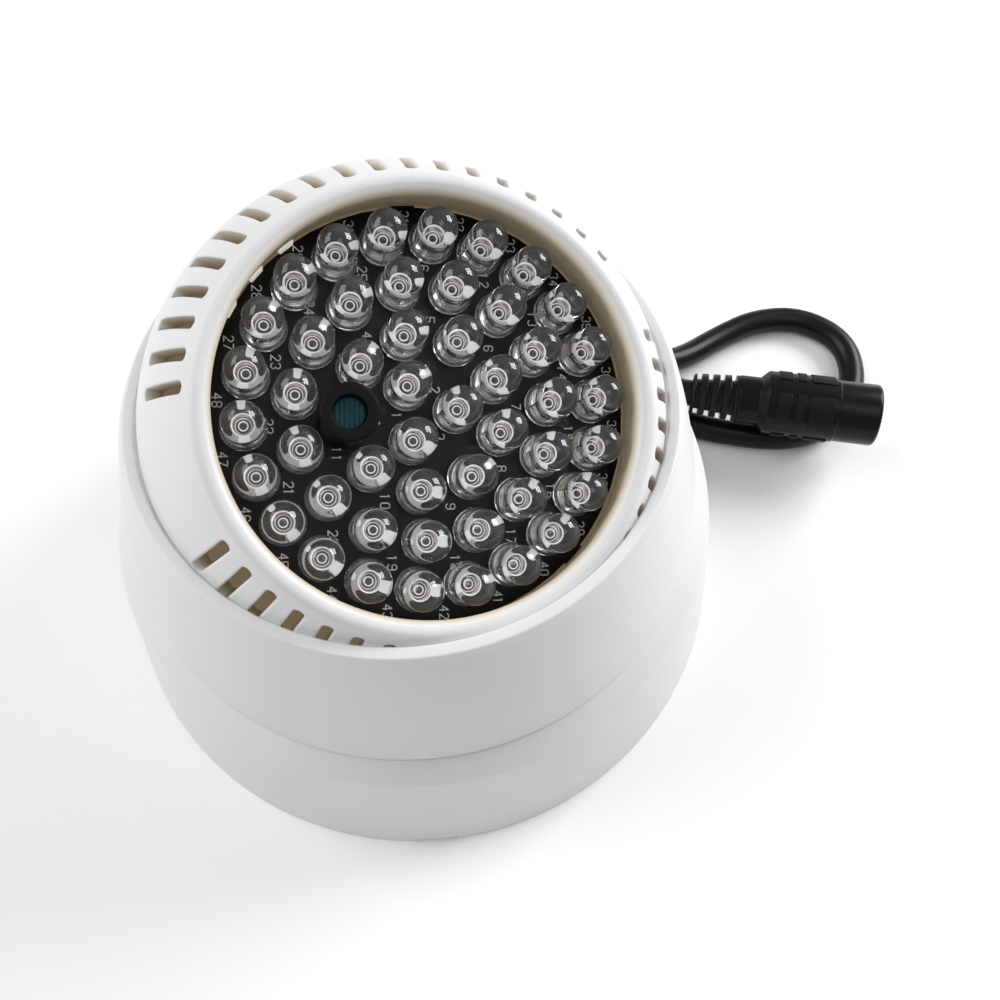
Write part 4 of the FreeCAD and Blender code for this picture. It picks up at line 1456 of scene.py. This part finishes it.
@dataclass
class RearShell:
    """Rear half of the ball, with its tongue, screw holes and lead port."""

    tongue_h: float = 1.6
    tongue_w: float = 0.9
    tongue_gap: float = 0.2
    tongue_bevel: float = 0.2
    joint_bevel: float = 0.15
    joint_latitude: float = 0.3
    flat_latitude: float = 80.0
    floor_latitude: float = 70.0
    outer_rows: int = 40
    inner_rows: int = 30
    head_r: float = 2.3
    head_seat: float = -6.0
    head_segments: int = 32
    port_r: float = 2.6
    port_top: float = -BALL_R / 2
    port_past: float = 1.0
    port_segments: int = 40
    inside_play: float = 0.05
    segments: int = 240

    def build(self) -> None:
        """Make the half ball: its section turned about its axis, and the openings cut from it.

        Faces whose corners all lie on the inner sphere are its inside, which takes painted shade and a
        painted glow.
        """
        inner_r = BALL_R - BALL_WALL
        tongue_r = inner_r - self.tongue_gap
        bore = tongue_r - self.tongue_w
        start = math.degrees(math.acos(bore / inner_r))
        outer = BALL_R * on_circle(np.linspace(-self.flat_latitude, -self.joint_latitude, self.outer_rows))
        inner = inner_r * on_circle(np.linspace(-start, -self.floor_latitude, self.inner_rows))
        tongue = [(BALL_R - self.joint_bevel, 0), (tongue_r, 0),
                  (tongue_r, self.tongue_h - self.tongue_bevel),
                  (tongue_r - self.tongue_bevel, self.tongue_h), (bore, self.tongue_h)]
        line = np.vstack([[(0, outer[0, 1])], outer, tongue, inner, [(0, inner[-1, 1])]])
        points, faces = turned(line, self.segments)
        far = np.linalg.norm(points, axis=1)
        marks = np.array([far[ring].max() < inner_r + self.inside_play for ring in faces])
        obj = piece("ball_rear", (points, faces), Place.BALL, Body.BALL,
                    [SHELL, INSIDE], marks)
        head = disc(self.head_r, self.head_segments, -BALL_R, self.head_seat)
        port = disc(self.port_r, self.port_segments, -BALL_R - self.port_past, self.port_top)
        carved(obj, [*(moved(head, a, BOSS_CIRCLE) for a in BOSS_ANGLES), port], Place.BALL)
        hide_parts("ball_rear_shell")


@dataclass
class Lamp:
    """One clear lamp: cast body with a flange and dome, and the metal frame and die in it.

    The frame lies along X, with its wing at -X. Its parts are given as length, width and corner in
    plan, their place along X, and heights over the cup's rim. The rim and the legs' feet are given
    as heights over the board. The bowl's foot and floor are a radius and a height over the rim, and
    bowl_in says how far its top is set in from the rim, outside and inside.
    """

    radius: float = 2.5
    flange_r: float = 2.9
    flange_t: float = 1.0
    clear_of_board: float = 0.02
    side_heights: Pair = (3.0, 3.5)
    height: float = 8.6
    dome_rows: int = 11
    segments: int = 32
    cup_segments: int = 24
    cup_r: float = 0.64
    cup_foot_r: float = 0.42
    cup_z: float = 4.7
    cup_h: float = 0.9
    cup_lip: float = 0.06
    cup_floor_r: float = 0.30
    cup_floor: float = 0.55
    bowl_foot: Pair = (0.40, -0.5)
    bowl_in: Pair = (0.065, 0.09)
    bowl_top: float = -0.02
    bowl_floor: Pair = (0.37, -0.42)
    dark_floor_r: float = 0.35
    dark_floor_heights: Pair = (-0.42, -0.39)
    wing: Triple = (0.40, 0.62, 0.08)
    wing_x: float = -0.80
    wing_heights: Pair = (-0.14, 0.0)
    wing_stem: Pair = (-1.3, -0.13)
    post: Triple = (0.36, 0.36, 0.06)
    post_x: float = 0.98
    post_heights: Pair = (-0.10, 0.04)
    post_leg_top: float = -0.09
    anvil: Triple = (0.9, 0.5, 0.1)
    anvil_x: float = -0.25
    anvil_top: float = -0.8
    leg_foot: float = 0.1
    tip: Triple = (0.5, 0.16, 0.04)
    tip_x: float = 1.35
    tip_heights: Pair = (-0.6, -0.1)
    chip: Triple = (0.2, 0.2, 0.03)
    chip_heights: Pair = (-0.39, -0.30)
    pad_radii: Pair = (0.19, 0.25)
    pad_heights: Pair = (-0.40, -0.33)
    pad_segments: int = 20

    def body(self) -> Shape:
        """Cast body: flange, straight side and a dome r = R cos t, z = z0 + R sin t.

        Returns:
            The shape.
        """
        t = np.linspace(0, math.pi / 2, self.dome_rows)
        dome = np.column_stack([self.radius * np.cos(t), self.height - self.radius + self.radius * np.sin(t)])
        dome[-1, 0] = 0.0
        low = self.clear_of_board
        start, end = self.side_heights
        foot = rounded([(0, low, 0), (self.flange_r, low, 0.15), (self.flange_r, self.flange_t, 0.25),
                        (self.radius, self.flange_t, 0.12), (self.radius, start, 0)], 4)
        return turned(np.vstack([foot[:-1], [(self.radius, end)], dome]), self.segments, closed=False)

    def over_rim(self, plan: np.ndarray, heights: Pair) -> Shape:
        """Prism over an outline in plan, whose heights are counted from the cup's rim."""
        return bar(plan, self.cup_z + heights[0], self.cup_z + heights[1])

    def frame(self) -> Shape:
        """Ends of the frame in a painted highlight: the cup's rim, the wing beside it and the post's head.

        Returns:
            The shape.
        """
        z = self.cup_z
        rim = rounded([(0, z - self.cup_h, 0), (self.cup_foot_r, z - self.cup_h, 0.05), (self.cup_r, z, 0.02),
                       (self.cup_r - self.cup_lip, z, 0.02), (self.cup_floor_r, z - self.cup_floor, 0.02),
                       (0, z - self.cup_floor, 0)], 2)
        wing, post = self.heads()
        return joined([turned(rim, self.cup_segments, closed=False), self.over_rim(wing, self.wing_heights),
                       self.over_rim(post, self.post_heights)])

    def heads(self) -> tuple[np.ndarray, np.ndarray]:
        """Outlines of the wing beside the cup and of the post's head."""
        return oblong(*self.wing) + [self.wing_x, 0], oblong(*self.post) + [self.post_x, 0]

    def legs(self) -> Shape:
        """What carries the cup, the wing and the post, in plainer metal.

        Returns:
            The shape.
        """
        foot = self.leg_foot - self.cup_z
        wing, post = self.heads()
        anvil = oblong(*self.anvil) + [self.anvil_x, 0]
        tip = oblong(*self.tip) + [self.tip_x, 0]
        return joined([self.over_rim(anvil, (foot, self.anvil_top)), self.over_rim(wing, self.wing_stem),
                       self.over_rim(post, (foot, self.post_leg_top)), self.over_rim(tip, self.tip_heights)])

    def cup_part(self, *line: Pair) -> Shape:
        """Part of the cup: an outline of radius and height over the rim, turned about Z."""
        return turned(np.array(line) + [0, self.cup_z], self.cup_segments, closed=False)

    def bowl(self) -> Shape:
        """The cup's dull inside.

        Returns:
            The shape.
        """
        outer, inner = ((self.cup_r - step, self.bowl_top) for step in self.bowl_in)
        return self.cup_part((0, self.bowl_foot[1]), self.bowl_foot, outer, inner, self.bowl_floor,
                             (0, self.bowl_floor[1]))

    def die(self) -> Shape:
        """The cup's dark floor, with the chip in its middle.

        Returns:
            The shape.
        """
        low, high = self.dark_floor_heights
        floor = self.cup_part((0, low), (self.dark_floor_r, low), (self.dark_floor_r, high), (0, high))
        return joined([floor, self.over_rim(oblong(*self.chip), self.chip_heights)])

    def pad(self) -> Shape:
        """Thin ring round the chip, in the frame's painted highlight.

        Returns:
            The shape.
        """
        (near, far), (low, high) = self.pad_radii, self.pad_heights
        line = np.array([(near, low), (near, high), (far, high), (far, low)]) + [0, self.cup_z]
        return turned(line, self.pad_segments)


@dataclass
class Digits:
    """Plain numbers in thin strokes, each figure one line through points of a 4 by 6 grid."""

    height: float = 1.15
    width: float = 0.66
    gap: float = 0.34
    stroke: float = 0.14
    corner: float = 0.06
    figures: tuple[str, ...] = (
        "10 30 41 45 36 16 05 01 10", "05 16 10", "05 16 36 45 44 00 40", "05 16 36 45 44 33 42 41 30 10 01",
        "30 36 02 42", "46 06 03 33 42 41 30 10 01", "45 36 16 05 01 10 30 41 42 33 03", "06 46 10",
        "13 04 05 16 36 45 44 33 13 02 01 10 30 41 42 33", "01 10 30 41 45 36 16 05 04 13 43")

    def number(self, value: int) -> Shape:
        """A number on the board's face, centred on the axis.

        Args:
            value: The number.

        Returns:
            Its strokes as thin bars.
        """
        text = str(value)
        bars = []
        for k, figure in enumerate(text):
            middle = [(k - (len(text) - 1) / 2) * (self.width + self.gap), 0.0]
            grid = np.array([[int(c) for c in spot] for spot in self.figures[int(figure)].split()], float)
            line = (grid / [4, 6] - 0.5) * [self.width, self.height] + middle
            for start, end in zip(line, line[1:]):
                run = end - start
                plan = oblong(float(np.linalg.norm(run)) + self.stroke, self.stroke, self.corner)
                angle = math.degrees(math.atan2(run[1], run[0]))
                bars.append(moved(printed(plan), angle, spot=(*(start + end) / 2, 0.0)))
        return joined(bars)


def printed(plan: np.ndarray) -> Shape:
    """Thin ink on the board's face, over an outline in plan."""
    return bar(plan, BOARD_FACE_H, BOARD_FACE_H + PRINT_T)


@dataclass(frozen=True)
class Ring:
    """A ring of lamps, clockwise from the first, with a number printed half a pitch past each.

    The numbers stand further out than the lamps by the lift, and count up from the lowest, which
    stands at the place that is ahead of the first lamp by the number in ahead.
    """

    name: str
    radius: float
    count: int
    first: float
    lift: float
    lowest: int
    ahead: int
    left_out: tuple[int, ...] = ()

    def places(self) -> np.ndarray:
        """Numbers of the places that have a lamp."""
        return np.array([k for k in range(self.count) if k not in self.left_out])

    def spots(self, places: np.ndarray, lift: float = 0.0) -> np.ndarray:
        """Where places are: the angle is first - 360 k / count.

        Args:
            places: Their numbers k, which may lie between two lamps.
            lift: How much further out than the lamps.

        Returns:
            (x, y, height of the board's face), one a row.
        """
        a = np.radians(self.first - 360.0 * places / self.count)
        r = self.radius + lift
        return np.column_stack([r * np.cos(a), r * np.sin(a), np.full(len(a), BOARD_FACE_H)])


INNER = Ring("inner", 4.01, 3, 101.13, -0.5, 1, 1)
THIRD = Ring("third", 9.97, 9, 81.35, 2.3, 4, 1, (7,))
MIDDLE = Ring("middle", 16.23, 15, 77.11, 3.2, 12, 14)
OUTER = Ring("outer", 22.33, 22, 79.17, 3.1, 27, 4)


@dataclass
class LampBoard:
    """Rings of lamps on their board, with what is printed and soldered there."""

    lamp: Lamp
    rings: tuple[Ring, ...] = (INNER, THIRD, MIDDLE, OUTER)
    reading_angle: float = -114.5
    brackets: tuple[Pair, ...] = ((-11.7, 1.25), (-10.05, 0.5))
    bracket_line: Triple = (1.4, 0.14, 0.05)
    bracket_hook: Triple = (0.14, 0.5, 0.05)
    hook_spot: Pair = (0.63, 0.18)
    solder_dots: tuple[Pair, ...] = ((-5.10, 3.35), (-5.83, 1.31))
    dot_r: float = 0.36
    dot_h: float = 0.25
    dot_rows: int = 6
    dot_segments: int = 20
    lamp_crease: float = 40.0

    def build(self) -> None:
        """Make the rings of lamps, and give the board its finish and its markings.

        Each lamp's frame lies along its ring, at right angles to its radius, with its wing on the
        side that is lower to a reader of the print.
        """
        right = math.radians(self.reading_angle + 90.0)
        lamp = self.lamp
        shapes = (lamp.body(), lamp.frame(), lamp.bowl(), lamp.die(), lamp.pad(), lamp.legs())
        for ring in self.rings:
            spots = ring.spots(ring.places())
            angles = np.arctan2(spots[:, 1], spots[:, 0])
            turns = angles - math.pi / 2 + math.pi * (np.cos(angles - right) > 0)
            parts = [copies(shape, spots, turns) for shape in shapes]
            # The frame's ends and the pad take the frame's painted highlight.
            marks = np.repeat([0, 1, 2, 3, 1, 4], [len(faces) for _, faces in parts])
            obj = piece(f"lamps_{ring.name}_ring", joined(parts), Place.BALL, Body.BALL,
                        [CLEAR, FRAME_PAINTED_HIGHLIGHT, BOWL, DIE, LEG_METAL], marks, self.lamp_crease)
            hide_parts(f"leds_{ring.name}_ring")
        kept("led_board", BOARD)
        self.markings()

    def markings(self) -> None:
        """Print the numbers and the brackets, and add the domed solder dots."""
        digits = Digits()
        ink = []
        for ring in self.rings:
            places = ring.places()
            for k, (x, y, _) in zip(places, ring.spots(places + 0.5, ring.lift)):
                value = ring.lowest + (k + ring.ahead) % ring.count
                ink.append(moved(digits.number(value), self.reading_angle, spot=(x, y, 0)))
        hook = oblong(*self.bracket_hook) + self.hook_spot
        for x, y in self.brackets:
            for plan in (oblong(*self.bracket_line), hook):
                ink.append(moved(printed(plan), self.reading_angle + 90.0, spot=(x, y, 0)))
        top = [0, BOARD_FACE_H + self.dot_h]
        dome = [self.dot_r, self.dot_h] * on_circle(np.linspace(0, 90, self.dot_rows)) + [0, BOARD_FACE_H]
        line = np.vstack([[(0, BOARD_FACE_H)], dome[:-1], [top]])
        dot = turned(line, self.dot_segments, closed=False)
        ink, dots = joined(ink), joined([moved(dot, spot=(x, y, 0)) for x, y in self.solder_dots])
        piece("board_print", joined([ink, dots]), Place.BALL, Body.BALL, [INK, SOLDER],
              np.repeat([0, 1], [len(ink[1]), len(dots[1])]))


@dataclass
class Sensor:
    """Light sensor: a disc with a folded track, in a black sleeve, on a place of the third ring."""

    place: int = 7
    disc_r: float = 2.0
    disc_h: float = 7.0
    sleeve_r: float = 3.55
    sleeve_h: float = 8.5
    play: float = 0.05
    stripes: int = 6
    stripe_w: float = 0.26
    stripe_pitch: float = 0.58
    track_r: float = 1.75
    track_h: float = 0.04
    track_in: float = 0.02
    turn: float = -24.5
    disc_segments: int = 48
    sleeve_segments: int = 56

    def build(self) -> None:
        """Make the disc, whose stripes end on a circle, and the sleeve."""
        spot = THIRD.spots(np.array([self.place]))[0]
        outline = rounded([(0, 0, 0), (self.disc_r, 0, 0.1), (self.disc_r, self.disc_h, 0.15),
                           (0, self.disc_h, 0)])
        shapes = [turned(outline, self.disc_segments)]
        marks = [0] * len(shapes[0][1])
        for k in range(self.stripes):
            x = self.stripe_pitch * (k - (self.stripes - 1) / 2)
            reach = math.sqrt(self.track_r ** 2 - x ** 2)
            plan = oblong(self.stripe_w, 2 * reach, 0.1, 2) + [x, 0]
            shapes.append(bar(plan, self.disc_h - self.track_in, self.disc_h + self.track_h))
            marks += [1] * len(shapes[-1][1])
        obj = piece("sensor_disc", moved(joined(shapes), self.turn, spot=spot), Place.BALL, Body.BALL,
                    [CELL, TRACK], np.array(marks))
        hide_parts("light_sensor")
        bore = self.disc_r + self.play
        outline = rounded([(bore, 0, 0), (bore, self.sleeve_h, 0.25), (self.sleeve_r, self.sleeve_h, 0.35),
                           (self.sleeve_r, 0, 0)])
        sleeve = moved(turned(outline, self.sleeve_segments), spot=spot)
        obj = piece("sensor_tube", sleeve, Place.BALL, Body.BALL, [SLEEVE])
        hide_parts("sensor_sleeve")


def dress_inner_nodes() -> None:
    """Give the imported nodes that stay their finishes."""
    finishes = {
        "seat_ring": SEAT, "shell_screws": STEEL, "board_resistors": CHIP, "switch_transistor": PACKAGE,
        "supply_diode": PACKAGE, "lead_header": NYLON, "lead_plug": NYLON, "board_wires": JACKET,
        "lead_bush": RUBBER, "inner_lead": JACKET, "jack_insulator": SOCKET,
        "jack_contact_sleeve": NICKEL, "jack_centre_pin": NICKEL}
    for node, finish in finishes.items():
        kept(node, finish)


def main() -> None:
    """Build the camera, the socket and its lead, then each sub-assembly."""
    logging.basicConfig(level=logging.INFO, format="%(name)s %(message)s")
    Camera().build()
    ends = Socket().build()
    Lead().build([*ends, "jack_insulator", "jack_contact_sleeve", "jack_centre_pin"])
    for part in (Base(), Grommet(), Collar(), SlottedShell(), RearShell(), LampBoard(Lamp()), Sensor()):
        part.build()
    dress_inner_nodes()
    Studio().build()


if __name__ == "__main__":
    main()
